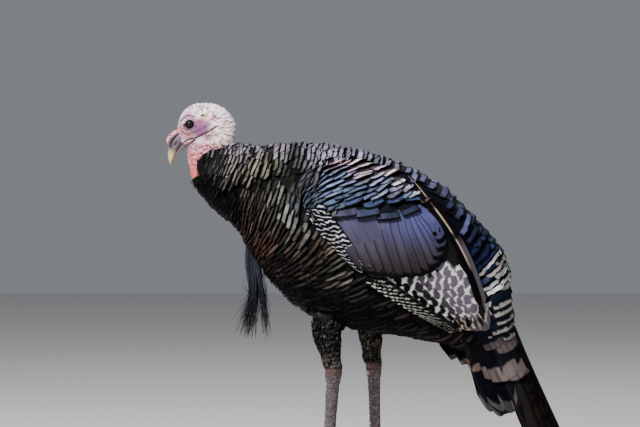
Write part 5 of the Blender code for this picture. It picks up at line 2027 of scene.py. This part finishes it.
def build_eyes():
    """A dark ball on each side, with a near-black iris round the pupil."""
    pupil, iris, white = colour(0.003, 0.003, 0.004), colour(0.011, 0.006, 0.005), colour(0.02, 0.014, 0.012)
    for side, sign in SIDES:
        low, high = (Vector(c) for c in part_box(f"eye_{side}"))
        centre, radius = (low + high) / 2, (high[0] - low[0]) / 2
        look = Vector((-0.18, sign, 0.02))
        work = bmesh.new()
        bmesh.ops.create_uvsphere(work, u_segments=40, v_segments=28, radius=radius)
        turn = Vector((0, 0, 1)).rotation_difference(look)
        for vertex in work.verts:
            vertex.co = turn @ vertex.co + centre
        mesh = finished(f"eyeball_{side}", work)
        facing = unit(positions(mesh) - np.array(centre)) @ unit(np.array((-0.18, sign, 0.02)))
        rgb = mix(white, iris, step(0.55, 0.62, facing)[:, None])
        rgb = mix(rgb, pupil, step(0.82, 0.88, facing)[:, None])
        paint(mesh, with_gloss(rgb, 0.0))
        place(f"eyeball_{side}", mesh, EYE_GLOSS, "eye", [f"eye_{side}"])


def hard_pieces():
    hard_piece("upper_bill", ["bill_upper"], "horn", 0.6 * MM, 4, bill_shape, bill_tones, HORN)
    hard_piece("lower_bill", ["bill_lower"], "horn", 0.5 * MM, 3, flat_shape, bill_tones, HORN)
    hard_piece("snood_flesh", ["snood"], "skin_red", 0.7 * MM, 3, snood_shape, snood_tones, WATTLE)
    claws = [f"claw_{toe}_{side}" for side, _ in SIDES for toe in ("middle", "inner", "outer", "hind")]
    hard_piece("claws", claws, "claw", 0.6 * MM, 2, flat_shape, claw_tones, HORN)
    hard_piece("spurs", ["spur_left", "spur_right"], "claw", 0.5 * MM, 2, flat_shape, spur_tones, HORN)


QUILL_CORES = (
    "flight_feathers_left flight_feathers_right tail_middle tail_outer_left tail_outer_right"
).split()


def dress_cores():
    """The solids under the quills keep their shape and get the quills' dark barbs."""
    core = plain_material("quill_core", (0.006, 0.0055, 0.006), 0.7, shine=0.1)
    for name in QUILL_CORES:
        mesh = NODES[name].data
        mesh.materials.clear()
        mesh.materials.append(core)


# ---------------------------------------------------------------- the stage


FLOOR = 6.0  # metres from its middle to its edges
# Lamps: name, place in metres, size in metres and power in watts.
LAMPS = (
    ("key", (-1.2, -1.7, 2.4), 0.7, 200),
    ("fill", (1.8, -2.4, 1.2), 1.6, 12),
    ("rim", (0.9, 1.8, 2.2), 1.4, 9),
)
SENSOR = 36.0  # millimetres
VIEW_WIDTH = 1.04064  # metres from edge to edge of the view, at the bird


def build_stage():
    corners = [(-FLOOR, -FLOOR, 0), (FLOOR, -FLOOR, 0), (FLOOR, FLOOR, 0), (-FLOOR, FLOOR, 0)]
    mesh = mesh_from("floor", corners, [(0, 1, 2, 3)])
    mesh.materials.append(plain_material("floor_paint", (0.62, 0.61, 0.59), 0.8))
    floor = bpy.data.objects.new("floor", mesh)
    bpy.context.scene.collection.objects.link(floor)
    world = bpy.data.worlds.new("studio")
    bpy.context.scene.world = world
    world.use_nodes = True
    sky = world.node_tree.nodes["Background"].inputs
    sky["Color"].default_value = (0.86, 0.90, 1.0, 1.0)
    sky["Strength"].default_value = 0.24
    for name, at, size, power in LAMPS:
        lamp = bpy.data.lights.new(name, "AREA")
        lamp.size, lamp.energy = size, power
        obj = aimed(name, lamp, Vector(at), Vector((0, 0, 0.35)))


def aimed(name, data, at, target):
    """A lamp or camera at one place, turned towards another."""
    obj = bpy.data.objects.new(name, data)
    obj.location = at
    obj.rotation_mode = "QUATERNION"
    obj.rotation_quaternion = (target - at).to_track_quat("-Z", "Y")
    bpy.context.scene.collection.objects.link(obj)
    return obj


def build_camera():
    """Level with the bird's back, five metres off its left side, with a long lens."""
    data = bpy.data.cameras.new("camera")
    at, target = Vector((-0.081, -5.0, 0.55)), Vector((-0.081, 0.0, 0.43))
    data.sensor_width = SENSOR
    data.lens = SENSOR * (target - at).length / VIEW_WIDTH
    data.clip_start, data.clip_end = 0.1, 100.0
    bpy.context.scene.camera = aimed("camera", data, at, target)


body_feathers()
small_coverts()
median_coverts()
greater_coverts()
secondaries()
primaries()
alula()
tertials()
tail_quills()
tail_side()
thigh_feathers()
build_beard()
neck_bristles()
leg_scales()
hard_pieces()
build_eyes()
dress_cores()
build_stage()
build_camera()
